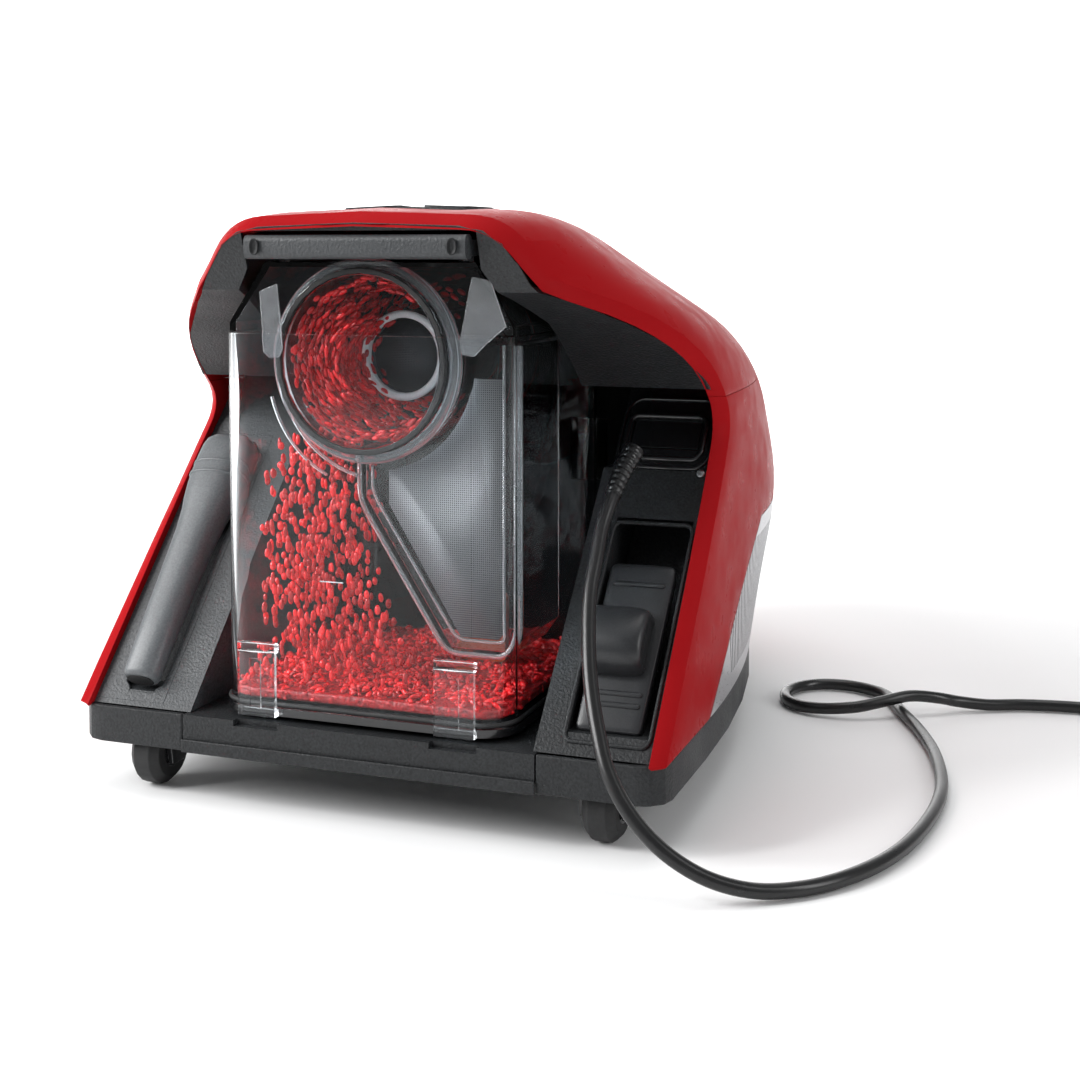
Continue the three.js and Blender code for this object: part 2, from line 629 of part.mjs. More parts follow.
function rearPanelLeft() {
  const { x0, width, z0, z1, depth } = TROUGH;
  const x1 = x0 + width;
  const tray = meet(sunkTray(-1, -x1, -x0, z0, z1, depth), cavity);
  const room = sunkRoom(-1, -x1, -x0, z0, z1, depth);
  return cut(join(panelShell(-1, PANEL_TOP), tray), room);
}

function rearPanelRight() {
  const { x0, x1, z0, z1, depth } = POCKET;
  const tray = meet(sunkTray(1, x0, x1, z0, z1, depth), cavity);
  const room = sunkRoom(1, x0, x1, z0, z1, depth);
  return cut(join(panelShell(1, OUTLET.bottom - GAP), tray), room);
}

function cordOutlet() {
  const { bottom, x0, x1, slotX0, slotX1, slotZ0, slotZ1 } = OUTLET;
  const plate = prismX(slantedSheet(PANEL_SINK, 4, bottom, PANEL_TOP), x0, x1);
  const window = prismX(slantedSheet(-20, 60, slotZ0, slotZ1), slotX0, slotX1);
  return meet(cut(plate, window), cavity);
}

function cordGuide() {
  const { slotX0, slotX1, slotZ0, slotZ1 } = OUTLET;
  const frame = prismX(slantedSheet(PANEL_SINK + 0.5, 12, slotZ0 + GAP, slotZ1 - GAP),
    slotX0 + GAP, slotX1 - GAP);
  const way = cordPoints()[0];
  const ahead = cordExitDirection();
  const bore = rod(ahead, CORD_D / 2 + GAP, way.clone().addScaledVector(ahead, -40),
    way.clone().addScaledVector(ahead, 20), 24);
  return cut(frame, bore);
}

// ---- hood interior ----
// Ceiling of the bin bay, an arch that clears the bin's lid, as (x, z).
function archOutline(inset) {
  const half = BAY_HALF + PANEL_WALL - inset;
  const ridge = LID.shoulder + 9 - inset;
  return outline([[-half, PANEL_TOP + GAP - inset], [half, PANEL_TOP + GAP - inset], [half, LID.eave],
    [ridge, LID.top + 9 - inset], [-ridge, LID.top + 9 - inset], [-half, LID.eave]]);
}

function hoodLiner() {
  const arch = prismY(archOutline(0), REAR + 3, BAY_BACK - GAP);
  const room = prismY(archOutline(PANEL_WALL), -FAR, FAR);
  return meet(cut(arch, room, rearOpening(BEZEL_THICK + 1.5), handleRoom()), cavity);
}

function lidOutline(grow, foot) {
  const { top, shoulder, eave } = LID;
  const half = BIN.half + grow;
  const ridge = shoulder + grow * 0.6;
  return outline([[-half, foot], [half, foot], [half, eave], [ridge, top + grow],
    [-ridge, top + grow], [-half, eave]]);
}

// Dark surround between the visor's edge and the bin, which follows the opening's curve.
function hoodBezel() {
  const strip = cut(rearOpening(BEZEL_THICK + 0.6), rearOpening(0.6));
  const zone = block(-FAR, FAR, REAR + 5, FAR, PANEL_TOP + GAP, FAR);
  const lidRoom = prismY(lidOutline(3, BASE_TOP), -FAR, FAR);
  return cut(meet(strip, zone, cavity), lidRoom, handleRoom());
}

// Space that the box handle needs as it leaves with the bin.
const handleRoom = () =>
  block(-BAR.half - 4, BAR.half + 4, -FAR, BAR_PIVOT.y + 14, LID.top - 20, BAR_TOP + 2);

function bulkhead() {
  const top = roofHeight(BAY_BACK, 0) - DIAL.depth - 4;
  const plate = block(-BAY_HALF, BAY_HALF, BAY_BACK, BAY_BACK + 4, BASE_TOP + GAP, top);
  const duct = rodY(VORTEX.r + 1, BAY_BACK - 10, BAY_BACK + 10, DRUM.x, DRUM_Z, 28);
  const inlet = block(52, 76, BAY_BACK - 10, BAY_BACK + 10, 150, 186);
  return cut(meet(plate, cavity), duct, inlet);
}

// ---- dust bin ----
function binOutline(inset) {
  const { half, front, corner: r } = BIN;
  const round = Math.max(2, r - inset);
  return roundedRect(-half + inset, half - inset, front + inset, BIN_BACK - inset, round);
}

function binBody() {
  const { bottom, top, wall } = BIN;
  return cut(prismZ(binOutline(0), bottom, top), prismZ(binOutline(wall), bottom - 1, top + 1), airWay());
}

// Outlet for the cleaned air in the bin's back wall, shared by the body and the lid.
const airWay = () => rodY(VORTEX.r - VORTEX.wall, BIN_BACK - 20, BIN_BACK + 20, DRUM.x, DRUM_Z, 32);

function binTray() {
  const floor = prismZ(binOutline(-1), BIN.bottom - TRAY_THICK, BIN.bottom - GAP);
  const foot = prismZ(binOutline(5), BIN.bottom - GAP - 0.5, BIN.bottom + 2.5);
  return join(floor, cut(foot, prismZ(binOutline(7.5), BIN.bottom - GAP, BIN.bottom + 9)));
}

function binClip(side) {
  const { x, width, height, thick } = CLIP;
  const top = BIN.bottom - TRAY_THICK + height;
  const front = BIN.front - 1.5 - thick;
  const foot = BIN.bottom - TRAY_THICK + 0.4;
  const mid = side * x;
  const plate = block(mid - width / 2, mid + width / 2, front, front + thick * 0.6, foot, top);
  const boss = rodX(2.6, mid - width / 2, mid + width / 2, front + 2.6, top - 3, 20);
  const rib = block(mid - 3, mid + 3, front - 1, front + 1, foot + 4, top - 8);
  const hook = block(mid - width / 2, mid + width / 2, front + 0.4, BIN.front - 1 - GAP, foot, foot + 3.4);
  return join(plate, boss, rib, hook);
}

function binLid() {
  const { front, wall } = LID;
  const foot = BIN.top + GAP;
  const hollow = prismY(lidOutline(-wall, foot - 9), front + wall, BIN_BACK - wall);
  const cap = cut(prismY(lidOutline(0, foot), front, BIN_BACK), hollow);
  const socket = rodY(DRUM.r + GAP, front - 5, front + 30, DRUM.x, DRUM_Z, 32);
  const pivots = rodX(BAR_PIVOT.r + RUN, -FAR, FAR, BAR_PIVOT.y, BAR_PIVOT.z, 16);
  return cut(join(cap, ...lidLugs()), socket, pivots, airWay());
}

// Ears on the lid that carry the box handle's pins.
function lidLugs() {
  const { y, z, lug } = BAR_PIVOT;
  const far = BAR.half - 6;
  const shape = outline([[y - 4.4, z - 1.5], [y - 3, z - 3.6], [y - 1, z - 4.6],
    [LID.front + 8, LID.top - 1], [LID.front + 8, z + 2], [y + 2, z + 4], [y - 3, z + 3.6], [y - 4.4, z + 1]]);
  return [prismX(shape, far - lug, far), prismX(shape, -far, lug - far)];
}

function cycloneDrum() {
  const { x, r, wall, front, back } = DRUM;
  const z = DRUM_Z;
  const tube = cut(rodY(r, front, back, x, z, 32), rodY(r - wall, front - 1, back - wall, x, z, 32));
  const exit = block(x - r - 5, x - 6, front + 12, back - 12, z - r - 5, z - r / 2);
  const ductRoom = rodY(VORTEX.r + GAP, back - 10, back + 10, x, z, 28);
  return cut(tube, exit, ductRoom);
}

const drumRod = (r, y0, y1, segments = 28) => rodY(r, y0, y1, DRUM.x, DRUM_Z, segments);

function drumCover() {
  const { r, front, cover, wall } = DRUM;
  return drumRod(r - wall - GAP, front - cover, front - GAP, 32);
}

function drumSeal() {
  const { r, front, cover, wall } = DRUM;
  return cut(drumRod(r, front - cover - 1, front - GAP, 32), drumRod(r - wall, front - 9, front + 9, 32));
}

function vortexTube() {
  const { r, wall, front } = VORTEX;
  const back = BIN_BACK - BIN.wall - GAP;
  return cut(drumRod(r, front, back, 32), drumRod(r - wall, front - 1, back + 1, 32));
}

function vortexRing() {
  const { r, wall, front } = VORTEX;
  return cut(drumRod(r, front - 3, front - GAP), drumRod(r - wall, front - 9, front + 9));
}

function vortexMesh() {
  return drumRod(VORTEX.r - VORTEX.wall - GAP, VORTEX.front + 3, VORTEX.front + 4);
}

// Wedge beside the cyclone that collects the fine dust, as (x, z).
function chamberOutline(inset) {
  const { left, foot } = CHAMBER;
  const right = BIN.half - BIN.wall - 1.5 - inset;
  const low = foot + inset;
  const top = BIN.top - 3 - inset;
  return outline([[left + inset, DRUM_Z - 41], [left + inset, DRUM_Z - 72 + inset * 0.6],
    [36 + inset * 0.8, low], [68, low], [right, low + 10], [right, top], [40, top]]);
}

function fineDustChamber() {
  const { front, depth, wall } = CHAMBER;
  const body = prismY(chamberOutline(0), front, front + depth);
  const hollow = prismY(chamberOutline(wall), front + wall, front + depth + 1);
  const drumRoom = drumRod(DRUM.r + 1, -FAR, FAR, 32);
  const drumWall = drumRod(DRUM.r + 1 + wall, -FAR, FAR, 32);
  return cut(body, cut(hollow, drumWall), drumRoom);
}

function chamberScreen() {
  const { front, foot } = CHAMBER;
  const shape = outline([[4, DRUM_Z - 61], [4, DRUM_Z - 73], [42, foot + 10], [66, foot + 10],
    [68, DRUM_Z - 51], [50, DRUM_Z - 55], [24, DRUM_Z - 67]]);
  return cut(prismY(shape, front - 1.2, front - GAP), drumRod(DRUM.r + 3, -FAR, FAR, 32));
}

function unlockButton() {
  const back = CHAMBER.front + CHAMBER.depth;
  const z = BIN.bottom + 10;
  return prismY(roundedRect(18, 48, z, z + 36, 4), back + 2, back + 12);
}

function granuleHeap() {
  return prismZ(binOutline(BIN.wall + 6), BIN.bottom + 3, BIN.bottom + HEAP);
}

function boxHandle() {
  const { half, front } = BAR;
  const { y, z, r, lug } = BAR_PIVOT;
  const bar = prismX(roundedRect(front, BAR_BACK, BAR_BOTTOM, BAR_TOP, 3.5), -half, half, 3);
  const lugSide = half - 6;
  const arms = [-1, 1].map((side) => {
    const near = side * (lugSide + GAP);
    const far = side * half;
    const shape = roundedRect(BAR_BACK - 2, y + 4, z - 4, z + 4, 3);
    return prismX(shape, Math.min(near, far), Math.max(near, far), 3);
  });
  const pins = cut(rodX(r, -half + 1, half - 1, y, z, 16),
    block(-lugSide + lug, lugSide - lug, -FAR, FAR, 0, FAR));
  return join(bar, ...arms, pins);
}

// ---- tools in the rear bays ----
const crossing = new THREE.Vector3(0, rimSlope, 1).normalize();
const outward = new THREE.Vector3(0, -1, rimSlope).normalize();

// Places a piece built along +Z, with its back to +Y, on the slanted plane.
function onSlant(geometry, x, z, lift, lean) {
  const basis = new THREE.Matrix4().makeBasis(AXIS_X, outward.clone().negate(), crossing);
  geometry.applyMatrix4(new THREE.Matrix4().makeRotationY(lean));
  geometry.applyMatrix4(basis);
  const at = new THREE.Vector3(x, rimY(z), z).addScaledVector(outward, lift);
  geometry.translate(at.x, at.y, at.z);
  return toSolid(geometry);
}

function taperedBox(w0, d0, w1, d1, length) {
  const geometry = new THREE.BoxGeometry(1, 1, 1);
  const p = geometry.attributes.position;
  for (let i = 0; i < p.count; i += 1) {
    const high = p.getZ(i) > 0;
    p.setX(i, p.getX(i) * (high ? w1 : w0));
    p.setY(i, p.getY(i) * (high ? d1 : d0));
    p.setZ(i, high ? length : 0);
  }
  return geometry;
}

function creviceTool() {
  const { wide, deep, tipWide, tipDeep, lean } = CREVICE;
  const foot = TROUGH.z0 + 10;
  const length = (TROUGH.z1 - foot) * Math.hypot(1, rimSlope) - 4;
  const x = TROUGH.x0 + wide + 1;
  return onSlant(taperedBox(wide, deep, tipWide, tipDeep, length), x, foot, -1, -lean);
}

function upholsteryNozzle() {
  const { wide, tipWide, thick, length, neck, bore: r } = NOZZLE;
  const x = (POCKET.x0 + POCKET.x1) / 2;
  const foot = POCKET.z0 + 8;
  const plate = onSlant(taperedBox(wide, thick, tipWide, thick, length), x, foot, -8, 0);
  const stub = onSlant(new THREE.CylinderGeometry(neck - 1, neck, 22, 28), x - 2, foot + 33, 2, 0);
  const bore = onSlant(new THREE.CylinderGeometry(r, r, 30, 28), x - 2, foot + 33, 8, 0);
  return cut(join(plate, stub), bore);
}

// ---- inside the body ----
function motorHousing() {
  const { x, y, z, r, length, wall } = MOTOR;
  const can = rodY(r, y - length / 2, y + length / 2, x, z, 28);
  const room = rodY(r - wall, y - length / 2 + wall, y + length / 2 + 1, x, z, 28);
  const intake = rodY(14, y - length, y, x, z, 24);
  const foot = block(x - 30, x + 30, y - 45, y - 15, BASE_BOTTOM + BASE_WALL + GAP, z - r + 8);
  return cut(join(can, foot), room, intake);
}

function fanRotor() {
  const { x, y, z, r, length } = MOTOR;
  const start = y - length / 2 + 8;
  const disc = rodY(r - 9, start, start + 12, x, z, 32);
  const core = rodY(24, start + 11, start + 62, x, z, 24);
  const shaft = rodY(4, start + 60, start + 86, x, z, 16);
  return join(disc, core, shaft);
}

function exhaustFilter() {
  const { x, width, depth, z0, z1, pleat, pitch } = FILTER;
  const y0 = MOTOR.y + MOTOR.length / 2 + 6;
  const frame = block(x, x + width, y0, y0 + depth, z0, z1);
  const pleats = [];
  for (let at = x + pleat; at + pleat < x + width; at += pitch) {
    pleats.push(block(at, at + pleat, y0 - 1, y0 + depth - 6, z0 + 6, z1 - 6));
  }
  return cut(frame, ...pleats);
}

function cordReel() {
  const { x, y, z, r, hub, width, flange } = REEL;
  const x0 = x - width / 2;
  const x1 = x + width / 2;
  const spool = join(rodX(hub, x0, x1, y, z, 32), rodX(r, x0, x0 + flange, y, z, 28),
    rodX(r, x1 - flange, x1, y, z, 28));
  return cut(spool, rodX(6, x0 - 1, x1 + 1, y, z, 24));
}

function reelWinding() {
  const { x, y, z, hub, width, flange, winding } = REEL;
  const x0 = x - width / 2 + flange + GAP;
  const x1 = x + width / 2 - flange - GAP;
  return cut(rodX(winding, x0, x1, y, z, 28), rodX(hub + GAP, x0 - 1, x1 + 1, y, z, 32));
}

// ---- mains cord ----
// The cord's route from the outlet to the plug, chosen by hand, as (x, y, z).
const CORD_ROUTE = [
  [120, -160, 181], [117, -172, 170], [116, -186, 159], [115, -198, 147], [116, -210, 134],
  [117, -222, 121], [120, -234, 107], [126, -250, 87], [134, -264, 68], [143, -275, 51],
  [155, -281, 36], [170, -283, 23], [188, -279, 12], [207, -270, 5.6], [226, -256, 3.8],
  [244, -234, 3.8], [258, -203, 3.8], [267, -160, 3.8], [269.5, -106, 3.8], [260, -46, 3.8],
  [245, 1, 3.8], [231, 34, 3.8], [219, 63.5, 3.8], [208.5, 73.5, 3.8], [193, 79.5, 3.8],
  [177, 77.5, 3.8], [164, 67.5, 3.8], [158, 51.5, 3.8], [161.5, 34.5, 3.8], [172, 23, 4],
  [186.5, 18, 5.2], [206.5, 19.5, 7.6], [220.5, 27.5, 10], [236, 39, 12], [252, 47.5, 10],
  [262.5, 55.5, 6.8], [279, 63.5, 4.2], [300, 72.5, 3.8], [326, 77.5, 3.8], [352, 79, 3.8],
];

const cordPoints = () => CORD_ROUTE.map(([x, y, z]) => new THREE.Vector3(x, y, z));
const cordCurve = () => new THREE.CatmullRomCurve3(cordPoints(), false, 'centripetal');
const cordExitDirection = () => cordCurve().getTangentAt(0);

function cordTube() {
  const section = new THREE.Shape();
  section.absarc(0, 0, CORD_D / 2, 0, Math.PI * 2);
  const options = { steps: 60, extrudePath: cordCurve(), bevelEnabled: false, curveSegments: 5 };
  return toSolid(new THREE.ExtrudeGeometry(section, options));
}

function plug() {
  const tip = cordPoints().at(-1);
  const x0 = tip.x + GAP;
  const y = tip.y;
  const z = 16;
  const neck = onEnd(new THREE.CylinderGeometry(6, 4.2, 22, 20), x0 + 11, y, 6.4);
  const grip = prismX(roundedRect(y - 18, y + 18, 0.2, 30, 9), x0 + 20, x0 + 52, 5);
  const pins = [-9.5, 9.5].map((dy) => rodX(2.4, x0 + 50, x0 + 71, y + dy, z, 16));
  return join(neck, grip, ...pins);
}

function onEnd(geometry, x, y, z) {
  geometry.rotateZ(-Math.PI / 2);
  geometry.translate(x, y, z);
  return toSolid(geometry);
}

// ---- assembly ----
const vacuum = new THREE.Group();

function place(name, solid, material, parent = vacuum) {
  const mesh = new THREE.Mesh(toGeometry(solid), material);
  mesh.name = name;
  parent.add(mesh);
}

function addShell() {
  place('base_pan', basePan(), DARK);
  place('rear_lip', rearLip(), DARK);
  place('bin_floor', binFloor(), DARK);
  place('side_shell_left', sideShell(-1), RED);
  place('side_shell_right', sideShell(1), RED);
  place('vent_panel_left', ventPanel(-1), SILVER);
  place('vent_panel_right', ventPanel(1), SILVER);
  place('hood', hood(), RED);
  place('hood_liner', hoodLiner(), DARK);
  place('hood_bezel', hoodBezel(), DARK);
  place('rear_panel_left', rearPanelLeft(), DARK);
  place('rear_panel_right', rearPanelRight(), DARK);
  place('cord_outlet', cordOutlet(), BLACK);
  place('cord_guide', cordGuide(), BLACK);
  place('bulkhead', bulkhead(), DARK);
}

function addRoof() {
  place('top_panel', topPanel(), BLACK);
  place('handle_tub', handleTub(), BLACK);
  place('carry_handle', carryHandle(), GREY);
  place('power_button', roofButton(-1), GREY);
  place('rewind_button', roofButton(1), GREY);
  place('suction_dial', suctionDial(), GREY);
  place('hose_port', hosePort(), BLACK);
  place('hose_port_ring', hosePortRing(), GREY);
}

function addBin() {
  place('bin_body', binBody(), CLEAR);
  place('bin_tray', binTray(), BLACK);
  place('bin_clip_left', binClip(-1), CLEAR);
  place('bin_clip_right', binClip(1), CLEAR);
  place('bin_lid', binLid(), CLEAR);
  place('box_handle', boxHandle(), GREY);
  place('cyclone_drum', cycloneDrum(), CLEAR);
  place('drum_cover', drumCover(), CLEAR);
  place('drum_seal', drumSeal(), RUBBER);
  place('vortex_tube', vortexTube(), GREY);
  place('vortex_ring', vortexRing(), WHITE);
  place('vortex_mesh', vortexMesh(), SILVER);
  place('fine_dust_chamber', fineDustChamber(), CLEAR);
  place('chamber_screen', chamberScreen(), SILVER);
  place('unlock_button', unlockButton(), ORANGE);
  place('granule_heap', granuleHeap(), GRANULE);
}

function addCasters() {
  for (const [where, spot] of Object.entries(casterPlaces)) {
    place(`caster_cup_${where}`, casterCup(spot), DARK);
    place(`caster_fork_${where}`, casterFork(spot), BLACK);
    place(`caster_wheel_${where}`, casterWheel(spot), RUBBER);
  }
}

function addInside() {
  place('motor_housing', motorHousing(), BLACK);
  place('fan_rotor', fanRotor(), STEEL);
  place('exhaust_filter', exhaustFilter(), WHITE);
  place('cord_reel', cordReel(), GREY);
  place('reel_winding', reelWinding(), RUBBER);
}

function addTools() {
  place('crevice_tool', creviceTool(), GREY);
  place('upholstery_nozzle', upholsteryNozzle(), BLACK);
}

function addCord() {
  place('cord', cordTube(), RUBBER);
  place('plug', plug(), RUBBER);
}

addShell();
addRoof();
addBin();
addCasters();
addInside();
addTools();
addCord();

export default vacuum;
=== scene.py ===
"""Looks for a bagless canister vacuum cleaner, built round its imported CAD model."""

import math
import random

import bmesh
import bpy
from mathutils import Matrix, Vector


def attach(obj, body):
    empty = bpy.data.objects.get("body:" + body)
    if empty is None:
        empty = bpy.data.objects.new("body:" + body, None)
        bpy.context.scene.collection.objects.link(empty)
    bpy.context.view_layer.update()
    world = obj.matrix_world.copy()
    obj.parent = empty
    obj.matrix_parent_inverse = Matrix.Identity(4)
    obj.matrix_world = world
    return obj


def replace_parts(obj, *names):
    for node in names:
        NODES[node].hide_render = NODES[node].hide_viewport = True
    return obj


MM = 0.001
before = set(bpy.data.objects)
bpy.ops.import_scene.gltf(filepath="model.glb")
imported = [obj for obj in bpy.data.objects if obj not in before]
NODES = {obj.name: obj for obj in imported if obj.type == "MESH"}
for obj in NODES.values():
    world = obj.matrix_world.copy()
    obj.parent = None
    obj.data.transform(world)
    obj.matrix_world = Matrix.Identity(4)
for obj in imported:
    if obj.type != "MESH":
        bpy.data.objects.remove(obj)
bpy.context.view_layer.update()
rng = random.Random(7)

# ---------------------------------------------------------------- camera
CAMERA_PLACE = (0.3533, -0.9418, 0.283)
CAMERA_YAW = 20.0
CAMERA_PITCH = -2.65
CAMERA_SHIFT = -0.2


def make_camera():
    data = bpy.data.cameras.new("camera")
    data.sensor_width = 36.0
    data.lens = 53.33
    data.shift_y = CAMERA_SHIFT
    data.clip_start = 0.02
    camera = bpy.data.objects.new("camera", data)
    camera.location = CAMERA_PLACE
    camera.rotation_euler = (math.radians(90 + CAMERA_PITCH), 0, math.radians(CAMERA_YAW))
    bpy.context.scene.collection.objects.link(camera)
    bpy.context.scene.camera = camera


make_camera()


# ---------------------------------------------------------------- materials
class Shader:
    """A node material with one Principled shader, and the few node patterns the materials share."""

    def __init__(self, name):
        self.material = bpy.data.materials.new(name)
        self.material.use_nodes = True
        self.tree = self.material.node_tree
        self.tree.nodes.clear()
        self.output = self.node("ShaderNodeOutputMaterial")
        self.principled = self.node("ShaderNodeBsdfPrincipled")
        self.link(self.principled.outputs[0], self.output.inputs[0])
        self.place = self.node("ShaderNodeTexCoord").outputs["Object"]

    def node(self, kind, **values):
        made = self.tree.nodes.new(kind)
        for key, value in values.items():
            setattr(made, key, value)
        return made

    def link(self, source, target):
        self.tree.links.new(source, target)

    def color(self, factor, low, high, start=0.3, end=0.7):
        self.link(self.ramp(factor, low, high, start, end), self.principled.inputs["Base Color"])

    def roughness(self, factor, low, high):
        self.link(self.spread(factor, low, high), self.principled.inputs["Roughness"])

    def set(self, **values):
        for key, value in values.items():
            self.principled.inputs[key.replace("_", " ")].default_value = value

    def noise(self, scale, detail=2.0, stretch=None):
        texture = self.node("ShaderNodeTexNoise")
        texture.inputs["Scale"].default_value = scale
        texture.inputs["Detail"].default_value = detail
        source = self.place
        if stretch:
            mapping = self.node("ShaderNodeMapping")
            mapping.inputs["Scale"].default_value = stretch
            self.link(source, mapping.inputs["Vector"])
            source = mapping.outputs["Vector"]
        self.link(source, texture.inputs["Vector"])
        return texture.outputs["Fac"]

    def ramp(self, factor, low, high, start=0.3, end=0.7):
        ramp = self.node("ShaderNodeValToRGB")
        ramp.color_ramp.elements[0].position = start
        ramp.color_ramp.elements[1].position = end
        ramp.color_ramp.elements[0].color = (*low, 1)
        ramp.color_ramp.elements[1].color = (*high, 1)
        self.link(factor, ramp.inputs[0])
        return ramp.outputs[0]

    def spread(self, factor, low, high):
        scale = self.node("ShaderNodeMapRange")
        scale.inputs["From Min"].default_value = 0.3
        scale.inputs["From Max"].default_value = 0.7
        scale.inputs["To Min"].default_value = low
        scale.inputs["To Max"].default_value = high
        self.link(factor, scale.inputs[0])
        return scale.outputs[0]

    def bump(self, height, strength, distance):
        bump = self.node("ShaderNodeBump")
        bump.inputs["Strength"].default_value = strength
        bump.inputs["Distance"].default_value = distance
        self.link(height, bump.inputs["Height"])
        self.link(bump.outputs[0], self.principled.inputs["Normal"])


def shade(color, share):
    return tuple(min(1.0, c * share) for c in color)


def gloss(name, color, rough=0.16, coat=0.35, vary=0.06, ripple=0.03, ior=1.5):
    s = Shader(name)
    s.color(s.noise(9, 3), shade(color, 1 - vary), shade(color, 1 + vary))
    s.roughness(s.noise(55, 4), rough * 0.8, rough * 1.35)
    s.set(Coat_Weight=coat, Coat_Roughness=0.08, IOR=ior)
    s.bump(s.noise(420, 2), ripple, 0.0004)
    return s.material


def textured(name, color, rough=0.55, grain=1100, depth=0.00016, strength=0.55, vary=0.16, ior=1.47):
    s = Shader(name)
    fine = s.noise(grain, 3)
    s.color(fine, shade(color, 1 - vary), shade(color, 1 + vary * 1.4))
    s.roughness(s.noise(30, 4), rough * 0.86, rough * 1.12)
    s.set(IOR=ior)
    s.bump(fine, strength, depth)
    return s.material


def clear_with_painted_highlight(name, color, rough=0.2, share=0.5):
    """Clear plastic seen edge on: partly see-through, partly pale, the pale share a painted highlight along
    the clear edges.
    """
    s = Shader(name)
    cloud = s.noise(120, 3)
    s.color(cloud, shade(color, 0.88), color)
    s.roughness(cloud, rough * 0.7, rough * 1.3)
    s.set(Transmission_Weight=share, IOR=1.4)
    s.bump(s.noise(260, 2), 0.05, 0.0003)
    return s.material


def clear(name, tint=(0.93, 0.955, 0.97), rough=0.025):
    s = Shader(name)
    s.color(s.noise(14, 3), shade(tint, 0.985), tint)
    s.roughness(s.noise(38, 5), rough * 0.4, rough * 2.2)
    s.set(Transmission_Weight=1.0, IOR=1.27)
    shadow = s.node("ShaderNodeLightPath").outputs["Is Shadow Ray"]
    pass_through = s.node("ShaderNodeBsdfTransparent")
    pass_through.inputs[0].default_value = (*shade(tint, 0.96), 1)
    mix = s.node("ShaderNodeMixShader")
    s.link(shadow, mix.inputs[0])
    s.link(s.principled.outputs[0], mix.inputs[1])
    s.link(pass_through.outputs[0], mix.inputs[2])
    s.link(mix.outputs[0], s.output.inputs[0])
    return s.material


def metal(name, color, rough=0.3, stretch=(1, 1, 1), grain=500):
    s = Shader(name)
    brushed = s.noise(grain, 3, stretch)
    s.color(brushed, shade(color, 0.9), shade(color, 1.08))
    s.roughness(brushed, rough * 0.8, rough * 1.3)
    s.set(Metallic=0.85)
    s.bump(brushed, 0.12, 0.0001)
    return s.material


def screen(name, wire, hole, pitch):
    """Woven screen: crossing wires a pitch apart, in the XZ plane."""
    s = Shader(name)
    bands = []
    for axis in ("X", "Z"):
        wave = s.node("ShaderNodeTexWave", wave_type="BANDS", bands_direction=axis, wave_profile="SIN")
        wave.inputs["Scale"].default_value = 0.314 / pitch
        s.link(s.place, wave.inputs["Vector"])
        bands.append(wave.outputs["Fac"])
    weave = s.node("ShaderNodeMath", operation="MAXIMUM")
    s.link(bands[0], weave.inputs[0])
    s.link(bands[1], weave.inputs[1])
    s.color(weave.outputs[0], hole, wire, 0.45, 0.8)
    s.set(Metallic=0.4, Roughness=0.42)
    s.bump(weave.outputs[0], 0.6, 0.0003)
    return s.material


def granule_plastic(name, color):
    """Every bead of a mesh gets its own shade."""
    s = Shader(name)
    island = s.node("ShaderNodeNewGeometry").outputs["Random Per Island"]
    s.color(island, shade(color, 0.55), shade(color, 1.35), 0.0, 1.0)
    s.roughness(s.noise(300, 2), 0.22, 0.4)
    s.set(IOR=1.5)
    s.bump(s.noise(1500, 2), 0.2, 0.0002)
    return s.material


RED = gloss("red_gloss", (0.33, 0.0085, 0.011), 0.3, 0.0, 0.04, 0.02, 1.05)
DARK = textured("dark_textured", (0.016, 0.0172, 0.0185), 0.5, 750, 0.0006, 0.8, 0.35, 1.38)
GREY = textured("grey_textured", (0.036, 0.039, 0.042), 0.48, 700, 0.0004, 0.9)
# The crevice tool's grey is partly its own colour and partly painted light: it is lifted to stand for the
# strong light from the left.
TOOL_PAINTED_LIGHT = textured("tool_grey_painted_light", (0.1, 0.108, 0.114), 0.42, 900)
# Painted light: a lighter copy of the dark textured plastic for the left rear panel and the tool surround,
# which stands for the strong light from the left. The right rear panel keeps the dark one.
PANEL_PAINTED_LIGHT = textured("panel_grey_painted_light", (0.045, 0.0485, 0.052), 0.46, 750, 0.0005, 0.8, 0.3, 1.45)
BLACK = gloss("black_gloss", (0.0085, 0.0085, 0.0095), 0.14, 0.4, 0.15)
NOZZLE = textured("nozzle_dark", (0.02, 0.021, 0.023), 0.36, 1300, 0.00008, 0.35)
SILVER = metal("silver", (0.5, 0.5, 0.515), 0.32, (1, 1, 1), 700)
STEEL = metal("steel", (0.5, 0.5, 0.5), 0.28, (0.15, 1, 1), 900)
WHITE = textured("white_plastic", (0.93, 0.94, 0.95), 0.35, 800, 0.00006, 0.3, 0.04)
ORANGE = gloss("orange", (0.4, 0.055, 0.012), 0.28, 0.2)
RUBBER = textured("rubber", (0.013, 0.013, 0.0135), 0.62, 700, 0.00012, 0.4)
CORD = textured("cord_black", (0.009, 0.009, 0.0095), 0.3, 500, 0.00006, 0.3)
CLEAR = clear("clear")
